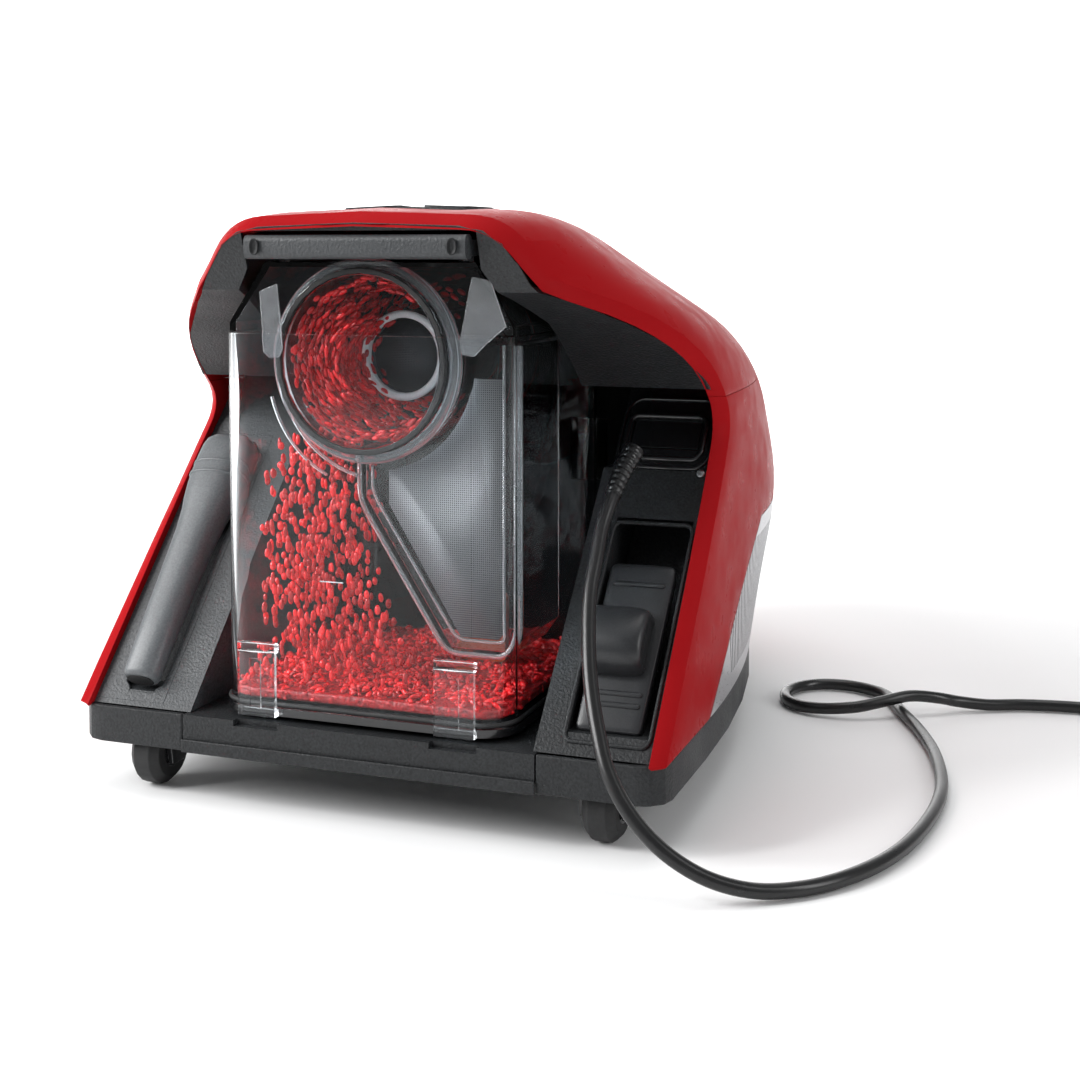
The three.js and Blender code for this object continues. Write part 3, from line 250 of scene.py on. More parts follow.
# Painted highlight: the drum lip, spiral lips, chamber beads and lid tabs are clear plastic, given a pale
# share that stands for the bright glint along their edges.
EDGE_PAINTED_HIGHLIGHT = clear_with_painted_highlight("clear_edge_painted_highlight", (0.92, 0.95, 0.98), 0.1, 0.9)
TOP_DARK = textured("top_dark", (0.012, 0.0125, 0.013), 0.75, 800, 0.0002, 0.5, 0.15, 1.12)
BED = textured("granule_bed", (0.3, 0.004, 0.006), 0.45, 420, 0.0012, 1.0, 0.5)
MESH_FINE = screen("mesh_fine", (0.2, 0.205, 0.215), (0.015, 0.015, 0.017), 0.0011)
MESH_DARK = screen("mesh_dark", (0.075, 0.085, 0.095), (0.006, 0.007, 0.008), 0.0009)
GRANULE = granule_plastic("granule", (0.7, 0.007, 0.01))
GAP_DARK = textured("joint_shadow", (0.004, 0.004, 0.0045), 0.8)
# Painted shade: the bulkhead behind the bin is made near black to stand for the deep shade in the bay.
CAVE_SHADE = textured("bay_painted_shade", (0.003, 0.0031, 0.0034), 0.7, 800, 0.0002, 0.4, 0.15, 1.12)
LINER = textured("liner_dark", (0.012, 0.0128, 0.0138), 0.5, 800, 0.0003, 0.6, 0.2, 1.3)
PRINT = textured("pale_print", (0.45, 0.47, 0.49), 0.5, 600, 0.00003, 0.1, 0.05)


# ---------------------------------------------------------------- mesh helpers
def place_mesh(name, mesh):
    piece = bpy.data.objects.new(name, mesh)
    bpy.context.scene.collection.objects.link(piece)
    return piece


def add_mesh(name, verts, faces, material, body, smooth=True):
    mesh = bpy.data.meshes.new(name)
    mesh.from_pydata([tuple(v) for v in verts], [], faces)
    mesh.update()
    return finish_piece(place_mesh(name, mesh), material, body, smooth)


def finish_piece(piece, material, body, smooth=True):
    piece.data.materials.clear()
    piece.data.materials.append(material)
    piece.data.polygons.foreach_set("use_smooth", [smooth] * len(piece.data.polygons))
    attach(piece, body)
    return piece


def place_bmesh(name, bm):
    mesh = bpy.data.meshes.new(name)
    bm.to_mesh(mesh)
    bm.free()
    return place_mesh(name, mesh)


def bmesh_of(verts, faces):
    mesh = bpy.data.meshes.new("tmp")
    mesh.from_pydata([tuple(v) for v in verts], [], faces)
    bm = bmesh.new()
    bm.from_mesh(mesh)
    bpy.data.meshes.remove(mesh)
    return bm


def grid_faces(rows, cols, close_rows=False, close_cols=False):
    """Faces of a grid of points, listed row by row; a closed direction joins its last points to its first."""
    faces = []
    for i in range(rows if close_rows else rows - 1):
        here, ahead = i * cols, (i + 1) % rows * cols
        for k in range(cols if close_cols else cols - 1):
            m = (k + 1) % cols
            faces.append((here + k, here + m, ahead + m, ahead + k))
    return faces


def turns(count):
    """Cosine and sine of even steps round a circle."""
    angles = [2 * math.pi * k / count for k in range(count)]
    return [(math.cos(a), math.sin(a)) for a in angles]


def skin(rings, name, material, body):
    """A closed skin through rings that have the same number of points."""
    verts = [v for ring in rings for v in ring]
    n = len(rings[0])
    faces = grid_faces(len(rings), n, close_cols=True)
    faces.append(tuple(range(n))[::-1])
    faces.append(tuple(range(len(verts) - n, len(verts))))
    return add_mesh(name, verts, faces, material, body)


def soften(piece, width, segments=2, angle=30, weighted=True):
    """Rounds the edges of a piece, and keeps its flats flat in the shading."""
    bevel = piece.modifiers.new("edge", "BEVEL")
    bevel.width = width
    bevel.segments = segments
    bevel.limit_method = "ANGLE"
    bevel.angle_limit = math.radians(angle)
    bevel.use_clamp_overlap = True
    if weighted:
        flat = piece.modifiers.new("flats", "WEIGHTED_NORMAL")
        flat.keep_sharp = False
        flat.weight = 80


def dress(node, material, width, segments):
    """Finishes a CAD node as it is: material, joined corners and softened edges."""
    piece = NODES[node]
    data = piece.data
    data.materials.clear()
    data.materials.append(material)
    if data.attributes.get("custom_normal"):
        data.attributes.remove(data.attributes["custom_normal"])
    data.polygons.foreach_set("use_smooth", [True] * len(data.polygons))
    weld = piece.modifiers.new("join", "WELD")
    weld.merge_threshold = 0.00002
    if width:
        soften(piece, width, segments)


def tube_mesh(name, path, radius_at, sides, material, body):
    """A closed round tube along path, whose radius at point i of n is radius_at(i / (n - 1))."""
    last = len(path) - 1
    rings = []
    up = Vector((0, 0, 1))
    for i, point in enumerate(path):
        ahead = (path[min(i + 1, last)] - path[max(i - 1, 0)]).normalized()
        side = ahead.cross(up)
        side = side.normalized() if side.length > 1e-4 else Vector((1, 0, 0))
        up = side.cross(ahead).normalized()
        r = radius_at(i / last)
        rings.append([point + side * c * r + up * s * r for c, s in turns(sides)])
    return skin(rings, name, material, body)


def lathe(name, profile, centre, axis, sides, material, body):
    """Turns profile, (radius, distance along the axis) in mm, into a closed ring or disc.

    The centre is in metres.
    """
    axis = Vector(axis).normalized()
    side = axis.orthogonal().normalized()
    other = axis.cross(side)
    verts = []
    for c, s in turns(sides):
        out = side * c + other * s
        verts.extend(Vector(centre) + axis * (along * MM) + out * (r * MM) for r, along in profile)
    bm = bmesh_of(verts, grid_faces(sides, len(profile), True, True))
    bmesh.ops.remove_doubles(bm, verts=bm.verts, dist=1e-7)
    bmesh.ops.recalc_face_normals(bm, faces=bm.faces)
    return finish_piece(place_bmesh(name, bm), material, body)


def rounded_box(name, low, high, radius, material, body, segments):
    bm = bmesh.new()
    bmesh.ops.create_cube(bm, size=1)
    size = [h - l for l, h in zip(low, high)]
    middle = [(h + l) / 2 for l, h in zip(low, high)]
    for v in bm.verts:
        v.co = Vector([c * s + m for c, s, m in zip(v.co, size, middle)])
    bmesh.ops.bevel(bm, geom=bm.edges[:], offset=radius, segments=segments, affect="EDGES", profile=0.5)
    bmesh.ops.recalc_face_normals(bm, faces=bm.faces)
    piece = finish_piece(place_bmesh(name, bm), material, body)
    flat = piece.modifiers.new("flats", "WEIGHTED_NORMAL")
    flat.weight = 80
    return piece


# ---------------------------------------------------------------- cord and plug
CORD_ROUTE = [
    (120, -160, 181), (117, -172, 170), (116, -186, 159), (115, -198, 147), (116, -210, 134),
    (117, -222, 121), (120, -234, 107), (126, -250, 87), (134, -264, 68), (143, -275, 51),
    (155, -281, 36), (170, -283, 23), (188, -279, 12), (207, -270, 5.6), (226, -256, 3.8),
    (244, -234, 3.8), (258, -203, 3.8), (267, -160, 3.8), (269.5, -106, 3.8), (260, -46, 3.8),
    (245, 1, 3.8), (231, 34, 3.8), (219, 63.5, 3.8), (208.5, 73.5, 3.8), (193, 79.5, 3.8),
    (177, 77.5, 3.8), (164, 67.5, 3.8), (158, 51.5, 3.8), (161.5, 34.5, 3.8), (172, 23, 4),
    (186.5, 18, 5.2), (206.5, 19.5, 7.6), (220.5, 27.5, 10), (236, 39, 12), (252, 47.5, 10),
    (262.5, 55.5, 6.8), (279, 63.5, 4.2), (300, 72.5, 3.8), (326, 77.5, 3.8), (352, 79, 3.8),
]
CORD_RADIUS = 0.0035


def between(a, b, start, end, x):
    """Blend of a and b at x, which runs from start to end."""
    return a * ((end - x) / (end - start)) + b * ((x - start) / (end - start))


def centripetal(points, steps):
    """Centripetal Catmull-Rom curve through the points."""
    pts = [Vector(p) for p in points]
    pts = [pts[0] * 2 - pts[1], *pts, pts[-1] * 2 - pts[-2]]
    path = []
    for i in range(1, len(pts) - 2):
        p = pts[i - 1 : i + 3]
        t = [0.0]
        for a, b in zip(p, p[1:]):
            t.append(t[-1] + math.sqrt((b - a).length))
        for s in range(steps):
            x = t[1] + (t[2] - t[1]) * s / steps
            a = [between(p[k], p[k + 1], t[k], t[k + 1], x) for k in range(3)]
            b = [between(a[k], a[k + 1], t[k], t[k + 2], x) for k in range(2)]
            path.append(between(b[0], b[1], t[1], t[2], x))
    path.append(pts[-2])
    return path


def make_cord():
    path = [p * MM for p in centripetal(CORD_ROUTE, 8)]
    cord = tube_mesh("mains_cord", path, lambda t: CORD_RADIUS, 20, CORD, "body")
    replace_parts(cord, "cord")
    make_strain_relief(path)
    tip = path[-1]
    plug = make_plug(tip)


def make_strain_relief(path):
    """Ribbed sleeve that tapers from the outlet slot onto the cord."""
    sleeve, run = [path[0]], 0.0
    for a, b in zip(path, path[1:]):
        run += (b - a).length
        if run > 0.034:
            break
        sleeve.append(b)
    fine = []
    for a, b in zip(sleeve, sleeve[1:]):
        fine.extend(a.lerp(b, k / 4) for k in range(4))
    fine.append(sleeve[-1])

    def radius(t):
        rib = 0.00045 if int(t * 17) % 2 else 0.0
        return 0.0052 - 0.0014 * t + rib

    tube_mesh("strain_relief", fine, radius, 24, CORD, "body")


def rooted(value, power):
    return math.copysign(abs(value) ** power, value)


def superellipse(half_y, half_z, y, z, power, count=28):
    flat = 2 / power
    return [(y + half_y * rooted(c, flat), z + half_z * rooted(s, flat)) for c, s in turns(count)]


def make_plug(tip):
    """Straight two-pin mains plug with a ribbed grip and a tapered strain relief."""
    x, y = tip.x / MM, tip.y / MM
    stations = [
        # along, half width, half height, middle height
        (0.2, 4.3, 4.3, 4.6), (6, 4.6, 4.6, 4.9), (6.2, 5.4, 5.4, 5.7), (9, 5.4, 5.4, 5.7),
        (9.2, 4.9, 4.9, 5.2), (12, 5.2, 5.2, 5.5), (12.2, 6.0, 5.8, 6.1), (15, 6.0, 5.8, 6.1),
        (15.2, 5.5, 5.3, 5.8), (18, 6.2, 5.8, 6.6), (22, 9.5, 8.4, 9.4), (26, 13.5, 11.4, 12.2),
        (31, 16.5, 13.6, 14.4), (36, 17.6, 14.6, 15.2), (39, 16.6, 13.8, 15.2), (42, 17.4, 14.4, 15.2),
        (45, 16.6, 13.8, 15.2), (48, 17.6, 14.6, 15.2), (51, 17.6, 14.7, 15.2), (52, 16.8, 13.9, 15.2),
    ]
    rings = []
    for along, half_y, half_z, z in stations:
        z = max(z, half_z + 0.25)
        power = 2.0 if along < 18 else 2.7
        ring = superellipse(half_y, half_z, y, z, power)
        rings.append([Vector((x + along, *place)) * MM for place in ring])
    body = skin(rings, "plug_body", CORD, "body")
    soften(body, 0.0004, 2, 40)
    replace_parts(body, "plug")
    pins = []
    profile = [(0, 0), (2.4, 0), (2.4, 10.5), (2.35, 18.2), (1.5, 19.6), (0, 19.8)]
    for k, dy in enumerate((-9.5, 9.5)):
        centre = Vector((x + 51.5, y + dy, 15.2)) * MM
        pins.append(lathe(f"plug_pin_{k}", profile, centre, (1, 0, 0), 20, STEEL, "body"))
    return [body, *pins]


make_cord()


# ---------------------------------------------------------------- body form
LENGTH, WIDTH, HEIGHT = 243, 160, 306
BASE = 45.3
FLARE, KEEL, KEEL_NOSE = -60, -165, 225
NOSE_HEIGHT, UNDERCUT, UNDERCUT_START = 110, 26, 120
PEAK, REAR_DROP = -170, 6
SHOULDER_START, SHOULDER_WIDTH, SHOULDER_HEIGHT = -130, 157, 238
FOOT = 45
SEAM = 206


def arc(t):
    return math.sqrt(max(0.0, 1 - t * t))


def plan_half(y):
    t = min(1.0, max(0.0, (y - FLARE) / (LENGTH - FLARE)))
    return WIDTH * (1 - t**2.2) ** (1 / 2.2)


def keel_half(y):
    t = max(0.0, (y - KEEL) / (KEEL_NOSE - KEEL))
    return max(WIDTH * arc(t), plan_half(y) * 0.3)


def roof_height(y):
    front = max(0.0, (y - PEAK) / (LENGTH - PEAK))
    rear = max(0.0, (PEAK - y) / (LENGTH + PEAK))
    return NOSE_HEIGHT + (HEIGHT - NOSE_HEIGHT) * arc(front) - REAR_DROP * rear * rear


def shoulder_half(y):
    t = max(0.0, (y - SHOULDER_START) / (LENGTH - SHOULDER_START))
    back = max(0.0, SHOULDER_START - y)
    return SHOULDER_WIDTH * arc(t) - 0.0047 * back * back


def quadratic(a, b, c, t):
    return a * (1 - t) ** 2 + b * 2 * t * (1 - t) + c * t * t


def rounded(before, at, after, reach, steps):
    to_before, to_after = before - at, after - at
    span = min(reach, to_before.length * 0.46, to_after.length * 0.46)
    start = at + to_before.normalized() * span
    end = at + to_after.normalized() * span
    return [quadratic(start, at, end, i / steps) for i in range(steps + 1)]


def filled(points, counts):
    """Adds evenly spaced points on the straight runs between the groups of points."""
    made = []
    for group, after, count in zip(points, points[1:], counts):
        made.extend(group)
        made.extend(group[-1].lerp(after[0], i / count) for i in range(1, count))
    return made + points[-1]


def half_section(y):
    """Half of the cross-section at y, from the roof's middle to the foot, as (x, z)."""
    wide, top = plan_half(y), roof_height(y)
    rise = (top - NOSE_HEIGHT) / (HEIGHT - NOSE_HEIGHT)
    shoulder_z = NOSE_HEIGHT + (SHOULDER_HEIGHT - NOSE_HEIGHT) * rise
    shoulder_x = shoulder_half(y)
    roof_x = min(77 - 0.16 * max(0, y - PEAK), shoulder_x * 0.8)
    crown = Vector((0, top))
    roof = Vector((roof_x, top - 3 * rise))
    shoulder = Vector((shoulder_x, shoulder_z))
    waist = Vector((wide, FOOT + (shoulder_z - FOOT) * 0.52))
    sill = Vector((keel_half(y), BASE))
    groups = [
        [crown],
        rounded(crown, roof, shoulder, 20, 7),
        rounded(roof, shoulder, waist, 34, 9),
        rounded(shoulder, waist, sill, 30, 6),
        [sill],
    ]
    return filled(groups, [9, 6, 6, 9])


def lowered(y, z):
    """How far the undercut nose draws a point back."""
    ahead = max(0.0, (y - UNDERCUT_START) / (LENGTH - UNDERCUT_START))
    low = min(1.0, max(0.0, (NOSE_HEIGHT - z) / (NOSE_HEIGHT - FOOT)))
    return UNDERCUT * ahead * low * low


def opening_outline():
    """Side view of the rear opening's edge, (y, z), from the foot to the roof."""

    def bend(a, b, c, steps):
        return [[quadratic(*ends, i / steps) for ends in zip(a, b, c)] for i in range(1, steps + 1)]

    line = [(-265, 22), (-245, 45), (-126, 178)]
    line += bend((-126, 178), (-112, 192), (-124, 204), 12)
    line += bend((-124, 204), (-170, 246), (-226, 262), 16)
    line += [(-236, 291), (-240, 295), (-240, 340)]
    return line


OPENING = opening_outline()


def opening_y(z):
    for (y0, z0), (y1, z1) in zip(OPENING, OPENING[1:]):
        if z0 <= z <= z1:
            return y0 + (y1 - y0) * (z - z0) / max(1e-6, z1 - z0)
    return OPENING[-1][0]


SECTIONS = {}


def section_point(y, j):
    """Point j of the section at y, and the outward direction there."""
    half = SECTIONS.get(round(y, 2))
    if half is None:
        half = SECTIONS[round(y, 2)] = half_section(y)
    p = half[j]
    a, b = half[max(0, j - 1)], half[min(len(half) - 1, j + 1)]
    along = (b - a).normalized()
    return p, Vector((-along.y, along.x))


SECTION_COUNT = len(half_section(-200))
RIM_WIDTH = 7.5


def rim_depth(z):
    return 4 + 4 * min(1, max(0, (z - 60) / 90)) + 2.5 * min(1, max(0, (z - 215) / 40))


def rim_rows(j, side):
    """The rear edge at section point j: inside return, inner edge, crease."""
    y = -200.0
    for _ in range(14):
        p, out = section_point(max(-243, y + 8), j)
        z_in = p.y - RIM_WIDTH * abs(out.y)
        y += (opening_y(max(FOOT, z_in)) - y) * 0.7
    depth = rim_depth(p.y)
    crease, out = section_point(max(-243, y + depth), j)
    inner = crease - Vector((abs(out.x), abs(out.y))) * RIM_WIDTH
    return [
        Vector((side * inner.x, y + 16, inner.y)),
        Vector((side * inner.x, y, inner.y)),
        Vector((side * crease.x, y + depth, crease.y)),
    ], y + depth


def make_shells():
    """Side shells and hood as one sheet with a faceted rear rim, split at the seams and thickened."""
    columns = []
    steps = 34
    for side, order in ((1, range(SECTION_COUNT - 1, -1, -1)), (-1, range(1, SECTION_COUNT))):
        for j in order:
            rows, start = rim_rows(j, side)
            for i in range(1, steps + 1):
                t = i / steps
                y = start + (242.4 - start) * math.sin(t * math.pi / 2) ** 0.92
                p, _ = section_point(y, j)
                rows.append(Vector((side * p.x, y - lowered(y, p.y), p.y)))
            columns.append(rows)
    verts = [v * MM for rows in columns for v in rows]
    n = len(columns[0])
    nose = tuple(range(n - 1, len(verts), n))
    source = bmesh_of(verts, [*grid_faces(len(columns), n), nose])
    bmesh.ops.recalc_face_normals(source, faces=source.faces)
    probe = max(source.faces, key=lambda f: f.calc_center_median().x)
    if probe.normal.x < 0:
        bmesh.ops.reverse_faces(source, faces=source.faces)
    gap = 0.35

    def part(name, cuts, node):
        bm = source.copy()
        for place, normal in cuts:
            geom = bm.verts[:] + bm.edges[:] + bm.faces[:]
            at = Vector(place) * MM
            bmesh.ops.bisect_plane(bm, geom=geom, plane_co=at, plane_no=normal, clear_outer=True)
        piece = finish_piece(place_bmesh(name, bm), RED, "body")
        wall = piece.modifiers.new("wall", "SOLIDIFY")
        wall.thickness = 0.0026
        wall.offset = -1
        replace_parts(piece, node)
        return piece

    up, down = (0, 0, 1), (0, 0, -1)
    left = part("side_left", [((0, 0, SEAM - gap / 2), up), ((-0.15, 0, 0), (1, 0, 0))], "side_shell_left")
    right = part("side_right", [((0, 0, SEAM - gap / 2), up), ((0.15, 0, 0), (-1, 0, 0))], "side_shell_right")
    hood = part("hood_shell", [((0, 0, SEAM + gap / 2), down)], "hood")
    source.free()
    return left, right, hood


def cutter(name, outline, axis, start, end):
    """A prism through outline, run along an axis, for a Boolean cut; it is removed afterwards."""
    bm = bmesh.new()
    place = {
        "X": lambda a, b, d: (d, a, b),
        "Y": lambda a, b, d: (a, d, b),
        "Z": lambda a, b, d: (a, b, d),
    }[axis]
    low = [bm.verts.new(Vector(place(a, b, start)) * MM) for a, b in outline]
    high = [bm.verts.new(Vector(place(a, b, end)) * MM) for a, b in outline]
    bm.faces.new(low[::-1])
    bm.faces.new(high)
    n = len(outline)
    for k in range(n):
        bm.faces.new((low[k], low[(k + 1) % n], high[(k + 1) % n], high[k]))
    bmesh.ops.recalc_face_normals(bm, faces=bm.faces)
    return place_bmesh(name, bm)


def apply_all(piece):
    """Makes a piece's modifiers part of its mesh."""
    dg = bpy.context.evaluated_depsgraph_get()
    mesh = bpy.data.meshes.new_from_object(piece.evaluated_get(dg))
    piece.modifiers.clear()
    piece.data = mesh


def carve(piece, tools):
    """Cuts the tools out of a piece and removes them."""
    for tool in tools:
        cut = piece.modifiers.new("cut", "BOOLEAN")
        cut.object = tool
        cut.operation = "DIFFERENCE"
        cut.solver = "EXACT"
    apply_all(piece)
    for tool in tools:
        bpy.data.objects.remove(tool)


def rounded_outline(x0, x1, y0, y1, r, steps=5):
    points = []
    corners = ((x1 - r, y0 + r, -90), (x1 - r, y1 - r, 0), (x0 + r, y1 - r, 90), (x0 + r, y0 + r, 180))
    for cx, cy, a0 in corners:
        for i in range(steps + 1):
            a = math.radians(a0 + 90 * i / steps)
            points.append((cx + r * math.cos(a), cy + r * math.sin(a)))
    return points


VENT_LOW, VENT_HIGH = 45.6, 128.0
VENT_FOOT, VENT_SLANT = -158, 1.6  # foot of the panel's sloping rear edge, and run over rise
VENT_PITCH, VENT_SLOT = 5.0, 1.7


def vent_rear(z):
    return VENT_FOOT + VENT_SLANT * (z - FOOT)


def vent_front(z):
    return 96 + 0.35 * (128 - z)


def vent_outline(grow):
    low, high = VENT_LOW - 8, VENT_HIGH + grow
    return [
        (vent_rear(low) - grow * 1.9, low),
        (vent_front(low) + grow, low),
        (vent_front(high) + grow, high),
        (vent_rear(high) - grow * 1.9, high),
    ]


def surface_x(y, z):
    half = half_section(y)
    for a, b in zip(half, half[1:]):
        if b.y <= z <= a.y:
            return a.x + (b.x - a.x) * (a.y - z) / max(1e-6, a.y - b.y)
    return half[-1].x


def vent_sheet(name, side, offset, thickness, material, grow):
    rows, steps, ring = [], 44, 14
    for i in range(ring + 1):
        z = VENT_LOW + grow + (VENT_HIGH - grow * 2 - VENT_LOW) * i / ring
        row = []
        for k in range(steps + 1):
            y = vent_rear(z) + (vent_front(z) - vent_rear(z)) * k / steps
            row.append(Vector((side * (surface_x(y, z) + offset), y, z)) * MM)
        rows.append(row)
    verts = [v for row in rows for v in row]
    piece = add_mesh(name, verts, grid_faces(ring + 1, steps + 1), material, "body")
    if side < 0:
        piece.data.flip_normals()
    wall = piece.modifiers.new("wall", "SOLIDIFY")
    wall.thickness = thickness
    wall.offset = -1
    return piece


def make_vents(side, word):
    panel = vent_sheet(f"vent_grille_{word}", side, 0, 0.0028, SILVER, 0)
    tools = []
    start, end = (side * 60, side * 170) if side > 0 else (-170, -60)
    y = -104.0
    while y < 100:
        reach = min(63, (y - VENT_FOOT) / VENT_SLANT - 12)
        lean = reach * 0.3
        low, high, far = 55, 55 + reach, y + VENT_SLOT
        outline = [(y, low), (far, low), (far - lean, high), (y - lean, high)]
        tools.append(cutter(f"slot_{word}_{len(tools)}", outline, "X", start, end))
        y += VENT_PITCH
    apply_all(panel)
    carve(panel, tools)
    finish_piece(panel, SILVER, "body")
    soften(panel, 0.0005, 2, 35)
    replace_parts(panel, f"vent_panel_{word}")
    vent_sheet(f"vent_backing_{word}", side, -4.2, 0.001, GAP_DARK, -1)


PORT_PLACE = Vector((0, 176, 212)) * MM
PORT_TILT = math.radians(48)
PORT_HOLE = 29.4 * MM


def port_cutter():
    """A rod along the hose port's axis."""
    axis = Vector((0, math.sin(PORT_TILT), math.cos(PORT_TILT)))
    bm = bmesh.new()
    bmesh.ops.create_cone(bm, cap_ends=True, segments=64, radius1=PORT_HOLE, radius2=PORT_HOLE, depth=0.12)
    tool = place_bmesh("port_hole", bm)
    tool.matrix_world = Matrix.Translation(PORT_PLACE) @ axis.to_track_quat("Z", "Y").to_matrix().to_4x4()
    return tool


def finish_shells():
    left, right, hood = make_shells()
    for shell, ends in ((left, (-200, -60)), (right, (60, 200))):
        carve(shell, [cutter("vent_hole", vent_outline(0.5), "X", *ends)])
        finish_piece(shell, RED, "body")
        soften(shell, 0.0007, 2, 28, weighted=False)
        carve(shell, [port_cutter()])
    roof_hole = cutter("roof_hole", rounded_outline(-46.4, 46.4, -205.4, 122.4, 8), "Z", 100, 400)
    carve(hood, [roof_hole, port_cutter()])
    for shell in (left, right, hood):
        finish_piece(shell, RED, "body")
        soften(shell, 0.0007, 2, 28, weighted=False)
    make_vents(-1, "left")
    make_vents(1, "right")


finish_shells()


# ---------------------------------------------------------------- CAD nodes kept as they are
WHEELS = ("rear_left", "rear_right", "front_left", "front_right")
LOOKS = (
    # material, width and steps of the rounded edges, nodes
    # The left rear panel takes the lighter copy of the dark plastic as painted light.
    (PANEL_PAINTED_LIGHT, 0.0012, 3, "rear_panel_left"),
    (DARK, 0.0012, 3, "base_pan rear_lip rear_panel_right"),
    (DARK, 0.0008, 2, "bin_floor hood_bezel"),
    (LINER, 0.0008, 2, "hood_liner"),
    # The bulkhead takes the near-black painted shade.
    (CAVE_SHADE, 0.0008, 2, "bulkhead"),
    (TOP_DARK, 0.0007, 3, "top_panel"),
    (BLACK, 0.0007, 3, "cord_outlet handle_tub hose_port"),
    (BLACK, 0.0005, 2, "cord_guide bin_tray motor_housing"),
    (GREY, 0.0012, 3, "power_button rewind_button suction_dial hose_port_ring box_handle carry_handle"),
    (GREY, 0.0005, 2, "cord_reel vortex_tube"),
    (CLEAR, 0.0009, 3, "bin_body bin_lid bin_clip_left bin_clip_right fine_dust_chamber"),
    (CLEAR, 0.0007, 2, "cyclone_drum drum_cover"),
    (RUBBER, 0.0003, 2, "drum_seal"),
    (WHITE, 0.0006, 2, "vortex_ring"),
    (MESH_DARK, 0, 0, "vortex_mesh"),
    (MESH_FINE, 0, 0, "chamber_screen"),
    (ORANGE, 0.001, 3, "unlock_button"),
    (WHITE, 0.0004, 2, "exhaust_filter"),
    (CORD, 0.0005, 2, "reel_winding"),
    (STEEL, 0.0005, 2, "fan_rotor"),
    (DARK, 0.0005, 2, " ".join(f"caster_cup_{where}" for where in WHEELS)),
    (BLACK, 0.0007, 3, " ".join(f"caster_fork_{where}" for where in WHEELS)),
    (RUBBER, 0.0005, 2, " ".join(f"caster_wheel_{where}" for where in WHEELS)),
)
for look, edge, steps, names in LOOKS:
    for node in names.split():
        dress(node, look, edge, steps)


# ---------------------------------------------------------------- tools in the rear bays
RIM_FOOT, RIM_ELBOW = (-245, 45), (-112, 192)  # ends of the sloping rear opening, (y, z)
SLOPE = (RIM_ELBOW[0] - RIM_FOOT[0]) / (RIM_ELBOW[1] - RIM_FOOT[1])
OUTWARD = Vector((0, -1, SLOPE)).normalized()
ALONG = Vector((0, SLOPE, 1)).normalized()


def on_slant(x, z, lift):
    """Point on the sloping rear plane at height z, raised by lift."""
    return Vector((x, RIM_FOOT[0] + (z - RIM_FOOT[1]) * SLOPE, z)) + OUTWARD * lift


def slant_ring(z, x, lift, half_x, half_out, power, count=32):
    ring = superellipse(half_x, half_out, 0, 0, power, count)
    middle = on_slant(x, z, lift)
    return [(middle + Vector((a, 0, 0)) + OUTWARD * b) * MM for a, b in ring]


TOOL_STATIONS = [
    # z, middle x, lift, half width, half depth
    (57.5, -127.2, 0.5, 8.2, 5.6), (58.0, -127.2, 0.5, 9.4, 7.0), (59.4, -127.3, 0.6, 10.0, 7.6),
    (80, -128.2, 0.8, 10.6, 8.2), (105, -129.2, 0.9, 11.3, 8.8), (124, -129.8, 0.8, 12.2, 9.4),
    (133, -130.2, 0.4, 13.6, 10.2), (140, -130.6, 0.0, 15.4, 11.2), (146, -130.9, -0.2, 16.4, 11.8),
    (152, -131.2, -0.3, 16.8, 12.0), (160, -131.6, -0.4, 16.8, 12.0), (166, -131.8, -0.5, 16.4, 11.8),
    (169, -131.9, -0.6, 15.4, 11.2), (170.6, -132.0, -0.7, 13.6, 9.8), (171.2, -132.0, -0.7, 11.0, 7.8),
]


def make_crevice_tool():
    rings = [slant_ring(z, x, lift, w, d, 2.5) for z, x, lift, w, d in TOOL_STATIONS]
    tool = skin(rings, "crevice_body", TOOL_PAINTED_LIGHT, "crevice_tool")
    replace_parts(tool, "crevice_tool")
    mouth = [
        slant_ring(z, -127.2, 0.5, w, d, 2.6)
        for z, w, d in ((57.0, 7.2, 4.6), (57.2, 7.6, 4.9), (57.9, 7.4, 4.8))
    ]
    skin(mouth, "crevice_mouth", GAP_DARK, "crevice_tool")
    for k, z in enumerate((150, 155.5)):
        steps = ((0, -0.3), (0.4, 0.4), (1.4, 0.4), (1.8, -0.3))
        band = [slant_ring(z + dz, -131.3, -0.3, 16.9 + g, 12.1 + g, 2.5) for dz, g in steps]
        skin(band, f"crevice_band_{k}", TOOL_PAINTED_LIGHT, "crevice_tool")


def tool_half(z):
    """Middle and half width of the crevice tool's outline at height z."""
    for a, b in zip(TOOL_STATIONS, TOOL_STATIONS[1:]):
        if a[0] <= z <= b[0]:
            t = (z - a[0]) / (b[0] - a[0])
            return a[1] + (b[1] - a[1]) * t, a[3] + (b[3] - a[3]) * t
    edge = TOOL_STATIONS[0] if z < TOOL_STATIONS[0][0] else TOOL_STATIONS[-1]
    return edge[1], edge[3]


